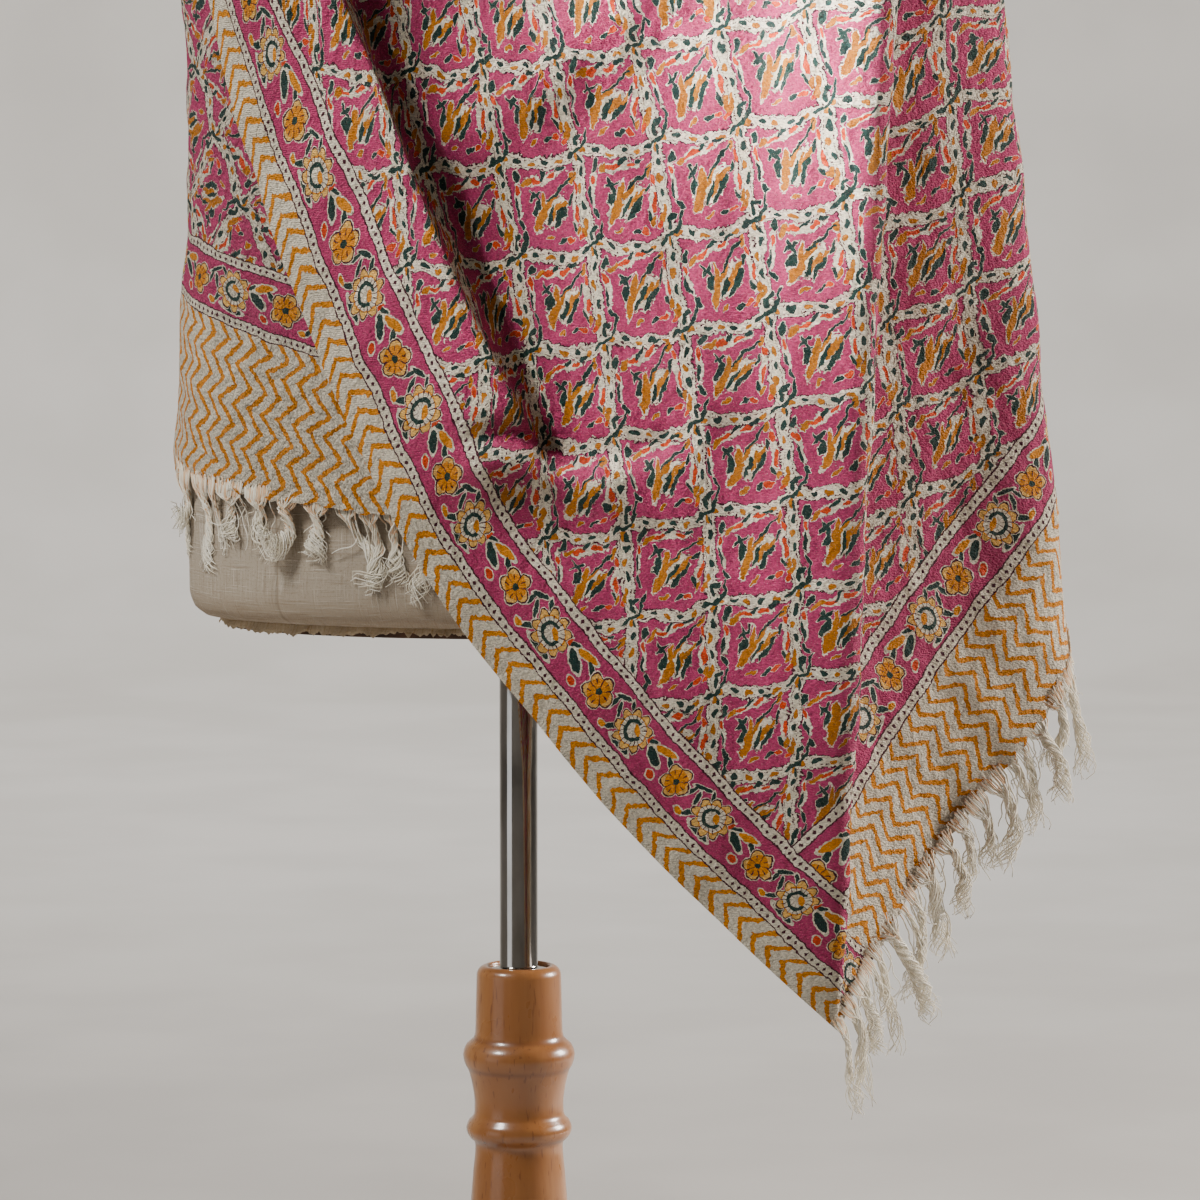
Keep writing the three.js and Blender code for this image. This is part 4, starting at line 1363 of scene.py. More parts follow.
@dataclass(frozen=True)
class Linen:
    """Plain-woven natural linen with thick and thin threads, upright seams and brown patches."""

    name: str = "form_linen"
    thread: Light = paint(178, 166, 149)
    light: Light = paint(212, 203, 188)
    dark: Light = paint(134, 118, 98)
    brown_tint: Light = paint(148, 122, 90)
    pitch: float = 1.1
    reach: float = 160.0

    def make(self) -> bpy.types.Material:
        """Builds the material, with its threads laid round and up the form."""
        r = Recipe(self.name)
        x, y, z = r.split(r.body_place())
        turn = x.math("ARCTAN2", -y)
        around, up = turn * self.reach, z * 1000.0
        flat = r.vector(around, up)
        drift = (r.noise(flat, 0.03, 1.0) - 0.5) * 5.0
        weft = r.noise(r.vector(around * 0.035, (up + drift) * 1.15), 1.0, 2.0, 0.6)
        warp = r.noise(r.vector((around + drift) * 1.15, up * 0.035), 1.0, 2.0, 0.6)
        slub = weft.between(0.57, 0.7).most(warp.between(0.57, 0.68) * 0.85)
        thin = weft.between(0.42, 0.32).most(warp.between(0.42, 0.32))
        step = 2 * math.pi / self.pitch
        grid = ((around + drift) * step).sine() * ((up + drift) * step).sine()
        grain = r.noise(flat, 0.8, 2.0, 0.7)
        colour = r.mix(slub, self.thread, self.light)
        colour = r.mix(thin * 0.5 + grain.between(0.5, 0.3, 0.0, 0.5), colour, self.dark)
        colour = r.mix(grid.between(-0.2, -1.0, 0.0, 0.3), colour, self.dark)
        # Broad brown patches, and brown flecks that grow from 760 mm down to 738 mm, towards the
        # bottom.
        worn = r.noise(flat, 0.012, 3.0).between(0.45, 0.75, 0.0, 0.25)
        low = up.between(760.0, 738.0, 0.0, 0.5)
        colour = r.mix(worn.most(low * grain.between(0.3, 0.7)), colour, self.brown_tint)
        seam = nearest(around, [math.radians(place) * self.reach for place in SEAMS])
        colour = r.mix(seam.between(0.0, 1.0, 0.55, 0.0), colour, self.dark)
        height = slub * 0.5 + grid * 0.22 + grain * 0.4 + seam.between(0.0, 2.2, -1.2, 0.0)
        r.relief(height, 0.8, 0.0007)
        return r.finish(Base_Color=colour, Roughness=0.93, Specular_IOR_Level=0.18)


@dataclass(frozen=True)
class Beech:
    """Varnished beech with fine upright grain and short rays; painted shade in the turned grooves.
    """

    pale: Light = paint(174, 122, 74)
    deep: Light = paint(144, 92, 48)
    ray_and_groove_shade: Light = paint(92, 44, 18)
    grooves: tuple[float, ...] = (0.4585, 0.4155, 0.477)

    def make(self) -> bpy.types.Material:
        """Builds the material."""
        r = Recipe("varnished_beech")
        at = r.body_place()
        _, _, z = r.split(at)
        broad = r.noise(r.scaled(at, (26.0, 26.0, 3.0)), 1.0, 3.0).between(0.32, 0.68)
        fine = r.noise(r.scaled(at, (330.0, 330.0, 15.0)), 1.0, 3.0, 0.6)
        rays = r.noise(r.scaled(at, (520.0, 520.0, 75.0)), 1.0, 1.0).between(0.64, 0.72)
        colour = r.mix(broad, self.deep, self.pale)
        colour = r.mix(fine.between(0.4, 0.7, 0.0, 0.5), colour, self.deep)
        colour = r.mix(rays * 0.5, colour, self.ray_and_groove_shade)
        # Painted shade: the turned grooves are darkened with the rays' dark brown.
        groove = nearest(z, self.grooves)
        colour = r.mix(groove.between(0.0, 0.0026, 0.4, 0.0), colour, self.ray_and_groove_shade)
        gloss = r.noise(r.scaled(at, (60.0, 60.0, 30.0)), 1.0, 3.0).between(0.3, 0.7, 0.26, 0.42)
        r.relief(fine * 0.6 + rays * 0.2, 0.3, 0.0004)
        return r.finish(Base_Color=colour, Roughness=gloss, Coat_Weight=0.55, Coat_Roughness=0.14)


@dataclass(frozen=True)
class Chrome:
    """Polished chrome with faint smears and upright hairlines."""

    bright: Light = paint(204, 202, 199)
    dull: Light = paint(172, 169, 163)

    def make(self) -> bpy.types.Material:
        """Builds the material."""
        r = Recipe("polished_chrome")
        at = r.body_place()
        smear = r.noise(r.scaled(at, (50.0, 50.0, 12.0)), 1.0, 4.0)
        hair = r.noise(r.scaled(at, (1200.0, 1200.0, 20.0)), 1.0, 2.0)
        colour = r.mix(smear.between(0.4, 0.7), self.bright, self.dull)
        rough = smear.between(0.35, 0.75, 0.05, 0.16) + hair.over(0.66) * 0.05
        r.relief(hair, 0.05, 0.0002)
        return r.finish(Base_Color=colour, Metallic=1.0, Roughness=rough)


@dataclass(frozen=True)
class StainedBoard:
    """A board stained dark brown, with its grain along the form's width."""

    light: Light = paint(96, 66, 44)
    dark: Light = paint(52, 34, 24)

    def make(self) -> bpy.types.Material:
        """Builds the material."""
        r = Recipe("stained_board")
        at = r.body_place()
        grain = r.noise(r.scaled(at, (8.0, 160.0, 160.0)), 1.0, 4.0, 0.6)
        blotch = r.noise(at, 14.0, 2.0).between(0.35, 0.65)
        colour = r.mix(grain.between(0.35, 0.65), self.dark, self.light)
        colour = r.mix(blotch * 0.3, colour, self.dark)
        r.relief(grain, 0.4, 0.0005)
        return r.finish(Base_Color=colour, Roughness=grain.between(0.3, 0.7, 0.5, 0.75))


# The pieces


@dataclass(frozen=True)
class Fringe:
    """One end's loose warp yarns and how they hang.

    away is the way out of the cloth along its length. keep says how far the yarns keep the
    cloth's own direction, gather the length over which they draw together, printed the share of
    the length that took ink, fray how far the tips open, and lie how near to the linen they sink.
    """

    name: str
    node: str
    cut: Rows
    away: int
    seed: int
    keep: float
    length: float
    gather: float
    printed: float
    sway: float = 0.2
    curl: float = 0.9
    fray: float = 6.4
    lie: float = 0.0
    bundles: int = 40
    strays: int = 90
    density: float = 1.35


@dataclass
class Shawl:
    """The draped cloth and the fringes at its two cut ends."""

    drape: Drape = field(default_factory=Drape)
    along: int = 520
    across: int = 172
    yarn_steps: int = 17
    yarn_sides: int = 4

    def build_cloth(self) -> bpy.types.Object:
        """Builds the sheet, with the flat cloth as its texture map."""
        along, across = ((self.along, self.across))
        share, v = np.meshgrid(
            np.linspace(0, 1, along), np.linspace(0, self.drape.width, across), indexing="ij"
        )
        u = self.drape.cut(share, v)
        points, normal = self.drape.place(u, v)
        points = points + normal * self.crumple(u, v)[..., None]
        number = np.arange(along * across).reshape(along, across)
        corners = number[:-1, :-1], number[1:, :-1], number[1:, 1:], number[:-1, 1:]
        faces = np.stack(corners, -1).reshape(-1, 4)
        cloth = mesh_object("shawl_cloth", points.reshape(-1, 3) * MM, faces)
        flat = np.stack([(u - MAP_START) / MAP_SPAN, v / self.drape.width], -1).reshape(-1, 2)
        set_uv(cloth, flat)
        return cloth

    def crumple(self, u: np.ndarray, v: np.ndarray) -> np.ndarray:
        """Gives the small soft unevenness of worn wool, in millimetres."""
        rng = np.random.default_rng(7)
        total = np.zeros_like(u)
        for reach, height in ((150, 0.9), (90, 0.6), (52, 0.45), (30, 0.3), (18, 0.2)):
            for _ in range(3):
                angle, phase = rng.uniform(0, np.pi), rng.uniform(0, 2 * np.pi)
                bend = 0.6 * np.sin((u * 0.7 - v) / reach * 1.7 + phase)
                way = (u * np.cos(angle) + v * np.sin(angle)) / reach * 2 * np.pi
                total += height * np.sin(way + phase + bend)
        return total * 0.6

    def build_fringe(self, plan: Fringe) -> bpy.types.Object:
        """Builds the yarns of one end, in twisted bundles with frayed tips.

        Args:
            plan: The fringe's sizes.

        Returns:
            The fringe.
        """
        rng = np.random.default_rng(plan.seed)
        steps = self.yarn_steps
        t = np.linspace(0, 1, steps)
        count = plan.bundles + plan.strays
        wide = rng.uniform(0.45, 1.6, plan.bundles)
        wide = wide / wide.sum() * self.drape.width
        spread = np.cumsum(wide) - wide / 2
        middle = np.concatenate([spread, rng.uniform(0.01, 0.99, plan.strays) * self.drape.width])
        single = np.arange(count) >= plan.bundles
        short, full = rng.uniform(0.3, 0.85, count), rng.uniform(0.6, 1.25, count)
        reach = plan.length * np.where(single, short, full)
        bundle_of, strand_v = [], []
        for bundle in range(count):
            size = 0.0 if single[bundle] else wide[bundle]
            many = max(1, round(size * plan.density))
            half = size * rng.uniform(0.44, 0.56)
            bundle_of += [bundle] * many
            strand_v += list(middle[bundle] + np.linspace(-half, half, many + 2)[1:-1])
        of = np.array(bundle_of)
        strand_v = np.clip(strand_v, 0.6, self.drape.width - 0.6)
        centre, out, normal = self.end_frames(middle, plan)
        start, start_out, start_off = self.end_frames(strand_v, plan)
        middles, side, ahead = self.bundle_paths(plan, rng, t, (centre, out, normal), reach)
        yarns = len(of)
        share = rng.uniform(0.8, 1.0, yarns)
        at = t[None] * share[:, None]
        low = np.minimum((at * (steps - 1)).astype(int), steps - 2)
        part = (at * (steps - 1) - low)[..., None]
        row = of[:, None]

        def along(rows: np.ndarray) -> np.ndarray:
            """Reads a bundle's rows at each yarn's own places."""
            return rows[row, low] * (1 - part) + rows[row, low + 1] * part

        twist = rng.uniform(0.8, 2.4, count) * rng.choice([-1, 1], count)
        size = np.concatenate([wide, np.zeros(plan.strays)])
        thick = np.where(single, 0.2, (1.7 + 0.13 * size) * rng.uniform(0.8, 1.25, count))
        gather = plan.gather * rng.uniform(0.6, 2.2, count)
        phase = rng.uniform(0, 2 * np.pi, yarns)
        depth = np.sqrt(rng.uniform(0.05, 1, yarns))
        angle = phase[:, None] + 2 * np.pi * twist[of][:, None] * at
        open_tip = ease((at - 0.3) / 0.7) * rng.uniform(0.3, plan.fray, yarns)[:, None]
        beat = 0.75 + 0.25 * np.cos(at * 9 + phase[:, None])
        radius = (thick[of] * depth)[:, None] * beat + open_tip
        wave_a = np.sin(at * rng.uniform(9, 20, yarns)[:, None] + phase[:, None])
        wave_b = np.sin(at * rng.uniform(14, 30, yarns)[:, None] + 2 * phase[:, None])
        shake = (0.25 + at) * rng.uniform(0.2, 1.1, yarns)[:, None]
        across = np.cos(angle) * radius + wave_a * shake
        off = np.sin(angle) * radius * 0.8 + wave_b * shake
        join = ease(at * reach[of][:, None] / gather[of][:, None])[..., None]
        root = (start - centre[of])[:, None] * (1 - join)
        ring = (along(side) * across[..., None] + along(ahead) * off[..., None]) * join
        paths = along(middles) + root + ring
        inside = rng.uniform(3.0, 8.0, yarns)[:, None]
        paths[:, 0] = start - start_out * inside + start_off * 0.15
        paths = self.keep_off(self.settle(paths, t, plan.lie))
        radii = rng.uniform(0.3, 0.46, yarns)
        return self.tubes(plan.name, list(paths), list(radii))

    def bundle_paths(
        self,
        plan: Fringe,
        rng: np.random.Generator,
        t: np.ndarray,
        frames: tuple[np.ndarray, np.ndarray, np.ndarray],
        reach: np.ndarray,
    ) -> tuple[np.ndarray, np.ndarray, np.ndarray]:
        """Leads each bundle out of the cloth's end, down and into its own curl.

        Args:
            plan: The fringe's sizes.
            rng: The source of random numbers.
            t: The shares of the way along.
            frames: The bundles' roots, ways out and ways off the body.
            reach: The bundles' lengths.

        Returns:
            The middles and two ways across, each by bundle and step.
        """
        centre, out, normal = frames
        count = len(centre)
        sway = rng.uniform(-1, 1, (count, 2)) * plan.sway
        curl = rng.uniform(-1, 1, count) ** 3 * plan.curl
        bend, late = rng.uniform(3, 7, count), rng.uniform(0, 2 * np.pi, count)
        rest = (1 - t)[None, :, None]
        way = out[:, None] * plan.keep * rest**1.5
        fall = np.zeros((count, len(t), 3))
        wave = bend[:, None] * t + late[:, None]
        fall[..., 0] = sway[:, :1] + curl[:, None] * t**2 + 0.28 * np.sin(wave)
        fall[..., 1] = sway[:, 1:] * 0.6 + 0.14 * np.cos(wave)
        fall[..., 2] = -1.0 + 0.55 * np.abs(curl[:, None]) * t**2
        way = way + fall * (0.2 + t)[None, :, None]
        way = way / np.linalg.norm(way, axis=-1, keepdims=True)
        pace = way * (reach / (len(t) - 1))[:, None, None]
        middles = centre[:, None] + np.cumsum(pace, axis=1) - pace[:, :1]
        side = np.cross(way, normal[:, None])
        side = side / (np.linalg.norm(side, axis=-1, keepdims=True) + 1e-9)
        return middles, side, np.cross(side, way)

    def settle(self, paths: np.ndarray, t: np.ndarray, lie: float) -> np.ndarray:
        """Lets the yarns sink towards the linen they hang in front of.

        Args:
            paths: The yarns' points.
            t: The shares of the way along.
            lie: How near to the linen they come, from 0 to 1.

        Returns:
            The settled points.
        """
        form = self.drape.form
        x, y, z = paths[..., 0], paths[..., 1], paths[..., 2]
        body = form.radius(np.degrees(np.arctan2(x, -y)), np.maximum(z, form.low + 8), 0.0)
        reach = np.hypot(x, y)
        gap = np.clip(reach - body, 0, 30)
        sink = lie * ease(t / 0.45)[None] * np.where(z > form.low - 6, gap, 0.0)
        share = (reach - sink) / (reach + 1e-9)
        return np.stack([x * share, y * share, z], -1)

    def keep_off(self, paths: np.ndarray) -> np.ndarray:
        """Pushes the yarns that would go into the form out to its linen.

        Args:
            paths: The yarns' points.

        Returns:
            The points, none of them under the linen.
        """
        form = self.drape.form
        x, y, z = paths[..., 0], paths[..., 1], paths[..., 2]
        turn = np.degrees(np.arctan2(x, -y))
        least = form.radius(turn, np.maximum(z, form.low + 8), 1.6)
        reach = np.hypot(x, y)
        push = np.where(z > form.low - 12, np.maximum(least / (reach + 1e-9), 1.0), 1.0)
        return np.stack([x * push, y * push, z], -1)

    def end_frames(self, v: np.ndarray, plan: Fringe) -> tuple[np.ndarray, np.ndarray, np.ndarray]:
        """Gives points of the cloth's cut end, the ways out of it and the ways off the body.

        Args:
            v: Where across the cloth.
            plan: The fringe on that end.

        Returns:
            Points, unit ways out and normals, as rows.
        """
        u = through(plan.cut, 1, v)
        edge, normal = self.drape.place(u, v)
        inside, _ = self.drape.place(u - plan.away * 6.0, v)
        out = edge - inside
        return edge, out / np.linalg.norm(out, axis=-1, keepdims=True), normal

    def tubes(self, name: str, centres: list[np.ndarray], radii: list[float]) -> bpy.types.Object:
        """Makes thin tubes about a list of paths, as one piece.

        Args:
            name: The piece's name.
            centres: The paths' points.
            radii: A radius for each path.

        Returns:
            The new piece.
        """
        sides = self.yarn_sides
        points, faces, flat = [], [], []
        for number, (path, radius) in enumerate(zip(centres, radii)):
            ahead = np.gradient(path, axis=0)
            ahead /= np.linalg.norm(ahead, axis=1, keepdims=True) + 1e-9
            side = np.cross(ahead, np.array([0.31, 0.9, 0.2]))
            side /= np.linalg.norm(side, axis=1, keepdims=True) + 1e-9
            up = np.cross(side, ahead)
            first = number * sides * len(path)
            run = np.linspace(0, 1, len(path))
            width = radius * (1 - 0.45 * run**3)
            for k in range(sides):
                angle = 2 * np.pi * k / sides
                ring = side * math.cos(angle) + up * math.sin(angle)
                points.append(path + ring * width[:, None])
                flat.append(np.stack([np.full(len(path), (number + 0.5) / 97.0), run], -1))
            count = len(path)
            for k in range(sides):
                a, b = first + k * count, first + ((k + 1) % sides) * count
                faces.extend([a + j, b + j, b + j + 1, a + j + 1] for j in range(count - 1))
            faces.append([first + k * count for k in reversed(range(sides))])
            faces.append([first + k * count + count - 1 for k in range(sides)])
        piece = mesh_object(name, np.concatenate(points) * MM, faces)
        set_uv(piece, np.concatenate(flat))
        return piece

    def plans(self) -> tuple[Fringe, Fringe]:
        """Gives the two fringes' sizes."""
        front = Fringe(
            "front_fringe_yarn",
            "fringe_front",
            cut=self.drape.front_cut,
            away=-1,
            seed=11,
            keep=0.8,
            length=56,
            gather=8,
            printed=0.22,
        )
        under = Fringe(
            "under_fringe_yarn",
            "fringe_under",
            cut=self.drape.under_cut,
            away=1,
            seed=23,
            keep=0.35,
            length=52,
            gather=9,
            printed=0.75,
            sway=0.6,
            curl=2.2,
            fray=8.5,
            lie=0.72,
            bundles=38,
            strays=130,
        )
        return front, under

    def build(self) -> list[bpy.types.Object]:
        cloth = self.build_cloth()
        cloth.data.materials.append(WoolPrint().make())
        pieces, dressed = [], [(cloth, "shawl", "wool")]
        for plan in self.plans():
            fringe = self.build_fringe(plan)
            fringe.data.materials.append(Yarn(plan.name + "_wool", plan.printed).make())
            pieces.append(fringe)
            dressed.append((fringe, plan.node, "yarn"))
        for piece, node, slot in dressed:
            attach(piece, "root")
            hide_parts(node)
        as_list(pieces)
        return [cloth, *pieces]


@dataclass
class Torso:
    """The padded form covered in linen, with the raw edge of the linen under its rim."""

    form: Form = field(default_factory=Form)
    around: int = 240
    wave: float = 0.7

    def build(self) -> list[bpy.types.Object]:
        body, raw = self.build_body(), self.build_raw_edge()
        linen = Linen().make()
        body.data.materials.append(linen)
        # Painted light: the raw edge's linen gets lighter colours than the form's, to make up for
        # the shade under the rim.
        rough = Linen(
            "raw_linen_edge", paint(222, 204, 172), paint(236, 224, 200), paint(168, 132, 92)
        )
        raw.data.materials.append(rough.make())
        for piece in (body, raw):
            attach(piece, "root")
        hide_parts("torso")
        return [body, raw]

    def padded(self, turn: np.ndarray, z: np.ndarray, grow: float) -> np.ndarray:
        """Gives the linen's surface, a little uneven over its padding, in millimetres.

        Args:
            turn: Degrees round from the front.
            z: The height.
            grow: How far out of the form.

        Returns:
            The points, as rows of x, y and z.
        """
        a = np.radians(turn)
        swell = np.sin(3 * a + z / 70) + 0.7 * np.sin(5 * a - z / 48 + 1.0) + 0.5 * np.sin(z / 31)
        inside = fade(z, 742, 40) * ease((1395 - z) / 40)
        seam = sum(np.exp(-(((turn - place) * 2.8 / 2.4) ** 2)) for place in SEAMS)
        r = self.form.radius(turn, z, grow) + (self.wave * swell - 0.7 * seam) * inside
        return np.stack([r * np.sin(a), -r * np.cos(a), z + 0 * r], -1)

    def build_body(self) -> bpy.types.Object:
        """Builds the closed form, from the middle of its underside to the top of its neck."""
        form = self.form
        turn = np.arange(self.around) * (360 / self.around) - 180
        rim = form.low + 16 * (1 - np.cos(np.linspace(0, np.pi / 2, 9)))
        heights = [*rim, *np.linspace(755, form.chest, 44), *np.linspace(1106, form.top, 62)]
        rings = [self.padded(turn, np.full_like(turn, form.low), -g) for g in (40.0, 15.0, 5.0)]
        rings += [self.padded(turn, np.full_like(turn, z), 0.0) for z in heights]
        rings += [self.padded(turn, np.full_like(turn, form.top), -g) for g in (3.0, 24.0)]
        points = np.concatenate(rings)
        foot, crown = len(points), len(points) + 1
        points = np.concatenate([points, [[0, 0, form.low], [0, 0, form.top]]])
        faces = ring_faces(len(rings), self.around)
        last = (len(rings) - 1) * self.around
        for k in range(self.around):
            after = (k + 1) % self.around
            faces.append((foot, after, k))
            faces.append((crown, last + k, last + after))
        return mesh_object("linen_form", points * MM, faces)

    def build_raw_edge(self) -> bpy.types.Object:
        """Builds the ragged strip of linen that hangs out between the form and its board."""
        count, rows = 900, 4
        rng = np.random.default_rng(5)
        foot = self.form.low
        turn = np.arange(count) * (360 / count) - 180
        ragged = np.convolve(rng.uniform(0, 1, count), np.ones(3) / 3, "same")
        long = 5.8 + 1.3 * np.sin(np.radians(turn) * 5 + 1) + 5.0 * (ragged - 0.5)
        long = np.clip(long, 2.6, 8.6)
        rings = []
        for row in range(rows):
            t = row / (rows - 1)
            flare = -11.5 + 2.4 * t + 0.8 * np.sin(np.radians(turn) * 37 + row) * t
            r = self.form.radius(turn, np.full_like(turn, foot), flare)
            a = np.radians(turn)
            rings.append(np.stack([r * np.sin(a), -r * np.cos(a), foot + 0.2 - long * t], -1))
        points = np.concatenate(rings)
        faces = [(a, d, c, b) for a, b, c, d in ring_faces(rows, count)]
        strip = mesh_object("linen_raw_edge", points * MM, faces)
        deselect()
        strip.select_set(True)
        bpy.context.view_layer.objects.active = strip
        thick = strip.modifiers.new("thickness", "SOLIDIFY")
        thick.thickness = 0.5 * MM
        bpy.ops.object.modifier_apply(modifier=thick.name)
        return strip


def arc(at: Sequence[float], size: Sequence[float], low: float, high: float, count: int) -> Outline:
    """Gives points of an oval's outline, from one angle to another."""
    turns = np.linspace(low, high, count)
    return [(at[0] + size[0] * math.cos(a), at[1] + size[1] * math.sin(a)) for a in turns]


@dataclass
class Stand:
    """The turned wooden cap, column and base, the chrome pole and flange, and the board."""

    # Radius by the drop below the column's top
    turning: Rows = (
        (6.0, 25.5), (20.0, 25.9), (40.0, 26.4), (44.0, 27.2), (48.0, 31.6), (54.0, 33.8),
        (60.0, 32.6), (63.5, 30.6), (65.5, 30.0), (72.0, 28.4), (84.0, 26.9), (91.0, 27.2),
        (95.0, 30.6), (99.5, 32.0), (104.0, 30.4), (107.5, 26.9), (110.0, 26.5), (128.0, 28.0),
        (160.0, 30.0), (300.0, 31.0), (438.0, 33.0), (446.0, 36.6), (452.0, 40.0), (460.0, 44.0),
        (470.0, 46.0), (481.0, 45.0), (488.7, 42.0),
    )
    top: float = 521.0
    pole_radius: float = 11.5
    steps: int = 96

    def build(self) -> list[bpy.types.Object]:
        beech, chrome = Beech().make(), Chrome().make()
        column = self.turned("turned_column", self.column_line())
        base = self.turned("turned_base", self.base_line(), 160)
        cap = self.turned("turned_neck_cap", self.cap_line())
        pole = self.turned("chrome_pole", self.pole_line(), 64)
        flange = self.turned("chrome_flange", self.flange_line(), 64)
        for piece, node, slot, finish in (
            (column, "column", "beech", beech),
            (base, "base", "beech", beech),
            (cap, "neck_cap", "beech", beech),
            (pole, "pole", "chrome", chrome),
            (flange, "flange", "chrome", chrome),
        ):
            piece.data.materials.append(finish)
            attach(piece, "root")
            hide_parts(node)
        board = bpy.data.objects["board"]
        board.data.materials.clear()
        board.data.materials.append(StainedBoard().make())
        return [column, base, cap, pole, flange]

    def column_line(self) -> Outline:
        """Gives the column's outline from its foot to the recess for the pole."""
        low, high = self.turning[0][0], self.turning[-1][0]
        drops = np.linspace(high, low, 230)
        line = [(0.0, self.top - high), (38.0, self.top - high)]
        line += [(float(through(self.turning, 1, d)), self.top - d) for d in drops]
        line += arc((19.6, self.top - 6.0), (5.9, 6.0), 0.15, math.pi / 2, 7)
        line += [(18.6, self.top - 0.5), (18.2, self.top - 1.4), (18.2, self.top - 4.6)]
        return [*line, (0.0, self.top - 4.6)]

    def base_line(self) -> Outline:
        """Gives the base's outline: a foot, a rounded rim, a cove and a flat top."""
        line = [(0.0, 0.0), (186.0, 0.0), (187.0, 0.3), (189.0, 1.6), (190.0, 3.6), (190.0, 11.5)]
        line += arc((184.0, 12.8), (6.0, 6.4), 0.1, 1.5, 8)
        line += [(183.0, 19.8)]
        line += [
            (182.5 - 15.5 * math.sin(a), 32.0 - 11.6 * math.cos(a))
            for a in np.linspace(0.1, 1.35, 9)
        ]
        line += [(166.4, 31.0), (165.4, 31.8), (164.2, 32.0)]
        return [*line, (60.0, 32.0), (0.0, 32.0)]

    def cap_line(self) -> Outline:
        """Gives the neck cap's outline: a disc with a rounded rim and a turned knob."""
        foot, rim = 1400.3, 1416.0
        line = [(0.0, foot), (54.2, foot), (55.4, foot + 1.0), (56.0, foot + 3.0)]
        line += [(56.0, rim - 5.4), *arc((50.6, rim - 5.4), (5.4, 5.4), 0.2, 1.5, 7)]
        line += [(44.0, rim), (17.5, rim)]
        line += [
            (16.6 - 4.6 * math.sin(a), rim + 4.6 - 4.4 * math.cos(a))
            for a in np.linspace(0.1, 1.5, 6)
        ]
        line += [(12.0, rim + 7.0)]
        line += [
            (9.0 + 9.6 * math.sin(a) ** 0.7, rim + 16.6 - 9.6 * math.cos(a))
            for a in np.linspace(0.35, 2.5, 18)
        ]
        return [*line, (10.0, rim + 25.6), (6.0, rim + 26.7), (0.0, rim + 27.0)]

    def pole_line(self) -> Outline:
        """Gives the pole's outline, with the collar that sits in the column's recess."""
        foot, r = self.top - 4.4, self.pole_radius
        line = [(0.0, foot), (16.6, foot), (17.2, foot + 0.6), (17.2, foot + 2.2)]
        line += [(16.4, foot + 3.0), (12.8, foot + 3.2), (r + 0.4, foot + 3.8), (r, foot + 4.6)]
        line += [(r, 640.0)]
        return [*line, (r, 719.0), (r - 0.6, 719.7), (0.0, 719.7)]

    def flange_line(self) -> Outline:
        """Gives the flange's outline."""
        return [
            (0.0, 720.0), (13.4, 720.0), (14.4, 720.6), (15.4, 722.4), (17.0, 723.6),
            (23.6, 723.9), (24.7, 724.4), (25.0, 725.2), (25.0, 726.6), (24.6, 727.0), (0.0, 727.0),
        ]

    def turned(
        self, name: str, line: Outline, steps: int | None = None
    ) -> bpy.types.Object:
        """Turns an outline round the upright axis, as on a lathe.

        Args:
            name: The piece's name.
            line: Radius and height in millimetres, from the foot's middle to the top's.
            steps: The number of faces round, if not the usual one.

        Returns:
            The turned piece.
        """
        deselect()
        bpy.ops.mesh.primitive_plane_add(size=MM, location=(0, 0, 0))
        piece = bpy.context.object
        piece.name = name
        bpy.ops.object.mode_set(mode="EDIT")
        bpy.ops.mesh.select_all(action="SELECT")
        bpy.ops.mesh.merge(type="CENTER")
        bpy.ops.mesh.select_mode(type="VERT")
        at = (0.0, 0.0)
        for number, (radius, height) in enumerate(line):
            move = ((radius - at[0]) * MM, 0.0, (height - at[1]) * MM)
            if number:
                bpy.ops.mesh.extrude_region_move(TRANSFORM_OT_translate={"value": move})
            else:
                bpy.ops.transform.translate(value=move)
            at = (radius, height)
        bpy.ops.mesh.select_all(action="SELECT")
        bpy.ops.mesh.spin(
            steps=steps or self.steps, angle=2 * math.pi, center=(0, 0, 0), axis=(0, 0, 1)
        )
        bpy.ops.mesh.select_all(action="SELECT")
        bpy.ops.mesh.remove_doubles(threshold=0.00002)
        bpy.ops.mesh.normals_make_consistent(inside=False)
        bpy.ops.object.mode_set(mode="OBJECT")
        bpy.ops.object.shade_smooth_by_angle(angle=math.radians(48))
        return piece


# The studio


@dataclass(frozen=True)
class Lamp:
    """One square soft light: its place, width, watts, colour, aim and spread in degrees."""

    name: str
    place: Place
    size: float
    power: float
    colour: Light
    aim: Place = (0.05, -0.05, 0.85)
    spread: float = 180.0

    def hang(self) -> None:
        """Adds the light to the scene."""
        data = bpy.data.lights.new(self.name, "AREA")
        data.size, data.energy, data.color = self.size, self.power, self.colour
        data.spread = math.radians(self.spread)
        light = bpy.data.objects.new(self.name, data)
        bpy.context.scene.collection.objects.link(light)
        light.location = self.place
        towards = Vector(self.aim) - Vector(self.place)
        light.rotation_euler = towards.to_track_quat("-Z", "Y").to_euler()


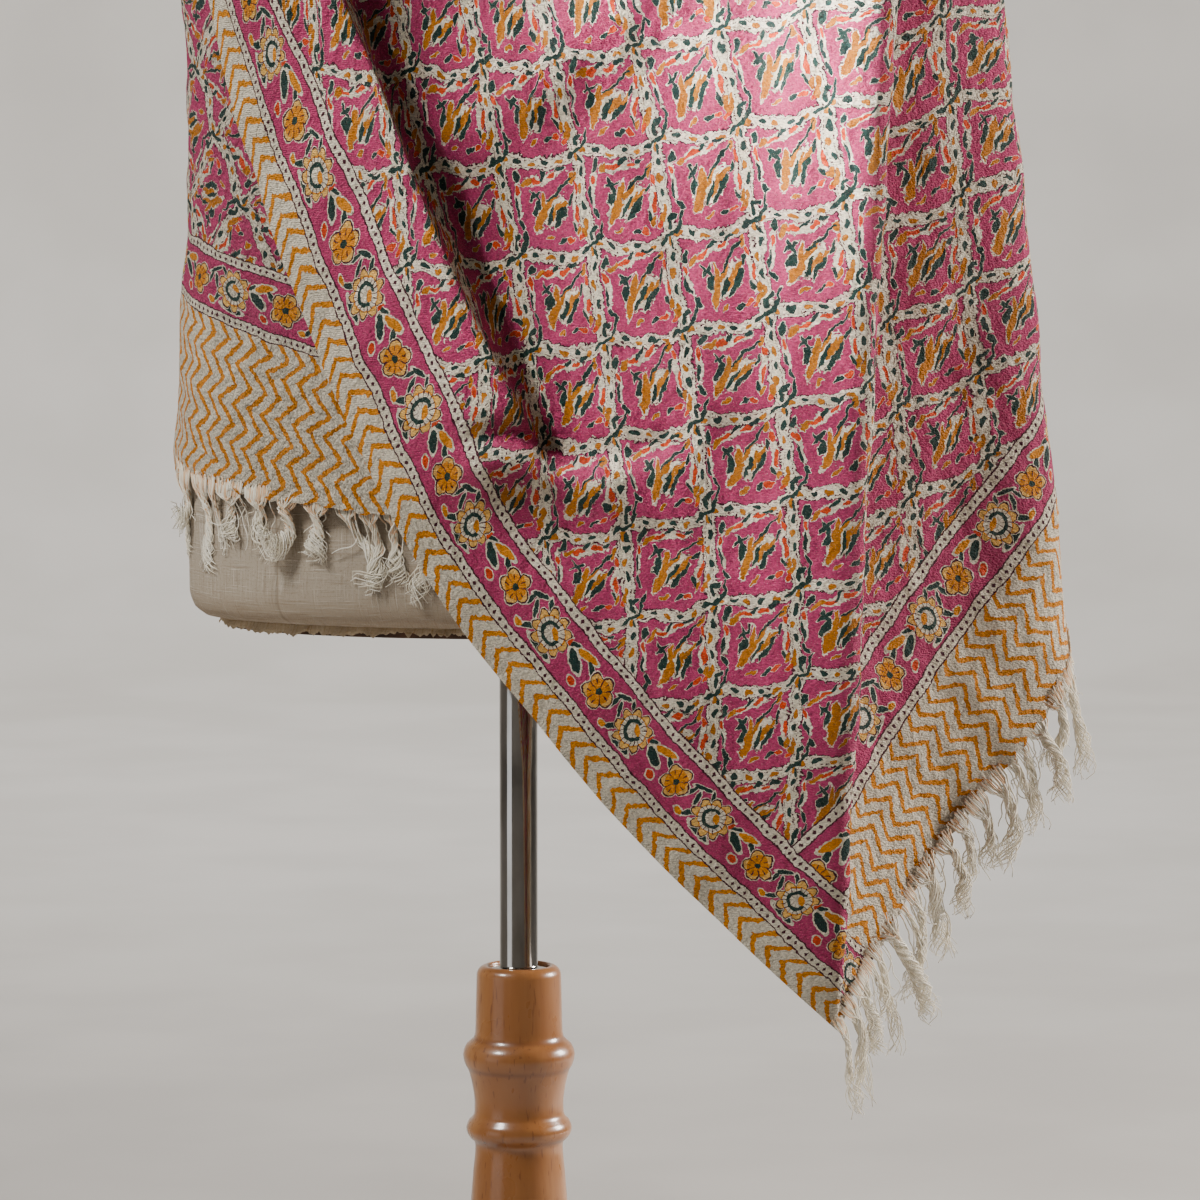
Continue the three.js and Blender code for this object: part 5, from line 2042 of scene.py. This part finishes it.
@dataclass
class Studio:
    """The camera, the lights and the round pale floor that rises into a wall."""

    target: Place = (0.049, 0.0, 0.742)
    distance: float = 3.2
    elevation: float = 5.0
    frame: float = 0.72
    room: float = 8.0
    wall: float = 6.0
    bend: float = 1.5
    around: int = 96
    air: float = 0.025
    # The key at the left front, two narrow beams on the shoulder and the swag, a low panel, a
    # fill at the right, a light from behind at the right, and the wall's own light
    lamps: tuple[Lamp, ...] = (
        Lamp("key", (-1.12, -0.69, 2.04), 0.4, 32.0, (1.0, 0.97, 0.93), (0.0, -0.1, 0.9)),
        Lamp("high", (-0.86, -0.97, 1.92), 0.12, 2.2, (1.0, 0.97, 0.94), (0.24, -0.16, 1.09), 14.0),
        Lamp("low", (-0.86, -0.97, 1.92), 0.12, 0.35, (1.0, 0.97, 0.94), (0.14, -0.15, 0.86), 14.0),
        Lamp("panel", (-2.3, -1.5, 0.7), 1.5, 6.0, (0.95, 0.97, 1.0)),
        Lamp("fill", (1.9, -0.12, 1.35), 0.9, 6.0, (1.0, 0.88, 0.8)),
        Lamp("rim", (2.7, 0.8, 1.6), 0.9, 160.0, (1.0, 0.93, 0.88)),
        Lamp("wall", (0.0, 3.2, 5.4), 3.0, 235.0, (1.0, 0.99, 0.98), (0.0, 7.2, 0.0), 120.0),
    )

    def build(self) -> None:
        """Builds the studio."""
        self.place_camera()
        self.lay_floor()
        self.hang_lights()

    def place_camera(self) -> None:
        """Puts the camera where the photograph was taken from."""
        data = bpy.data.cameras.new("camera")
        data.sensor_width = 36.0
        data.lens = 36.0 * self.distance / self.frame
        data.clip_start, data.clip_end = 0.05, 60.0
        camera = bpy.data.objects.new("camera", data)
        bpy.context.scene.collection.objects.link(camera)
        tilt = math.radians(self.elevation)
        x, y, z = self.target
        back, up = self.distance * math.cos(tilt), self.distance * math.sin(tilt)
        camera.location = (x, y - back, z + up)
        camera.rotation_euler = (math.radians(90) - tilt, 0, 0)
        bpy.context.scene.camera = camera

    def lay_floor(self) -> None:
        """Lays a round pale floor that curves up into a wall all round."""
        deselect()
        bpy.ops.mesh.primitive_plane_add(size=1, location=(0, 0, 0))
        floor = bpy.context.object
        floor.name = "floor"
        start = self.room - self.bend
        line = [(2.0, 0.0), (4.0, 0.0), (start, 0.0)]
        line += [
            (start + self.bend * math.sin(a), self.bend - self.bend * math.cos(a))
            for a in np.linspace(0.1, math.pi / 2, 12)
        ]
        line += [(self.room, self.wall)]
        points, faces = [(0.0, 0.0, 0.0)], []
        for radius, z in line:
            turns = [2 * math.pi * k / self.around for k in range(self.around)]
            points += [(radius * math.cos(a), radius * math.sin(a), z) for a in turns]
        for k in range(self.around):
            faces.append((0, 1 + k, 1 + (k + 1) % self.around))
        for a, b, c, d in ring_faces(len(line), self.around):
            faces.append((a + 1, d + 1, c + 1, b + 1))
        mesh = bpy.data.meshes.new("floor")
        mesh.from_pydata(points, [], faces)
        mesh.polygons.foreach_set("use_smooth", [True] * len(mesh.polygons))
        floor.data = mesh
        r = Recipe("pale_floor")
        tone = r.noise(r.body_place(), 3.0, 3.0).between(0.3, 0.7)
        colour = r.mix(tone, paint(196, 192, 186), paint(204, 200, 194))
        floor.data.materials.append(r.finish(Base_Color=colour, Roughness=0.85))

    def hang_lights(self) -> None:
        """Hangs the lights and fills the room with a little air light."""
        for lamp in self.lamps:
            lamp.hang()
        world = bpy.data.worlds.new("studio_air")
        world.use_nodes = True
        background = world.node_tree.nodes["Background"]
        background.inputs[0].default_value = (0.9, 0.93, 1.0, 1.0)
        background.inputs[1].default_value = self.air
        bpy.context.scene.world = world


def main() -> None:
    """Builds the object and the studio."""
    logging.basicConfig(level=logging.INFO, format="%(message)s")
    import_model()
    Studio().build()
    for builder in (Shawl(), Torso(), Stand()):
        for piece in builder.build():
            LOG.info("%s: %d faces", piece.name, len(piece.data.polygons))


if __name__ == "__main__":
    main()
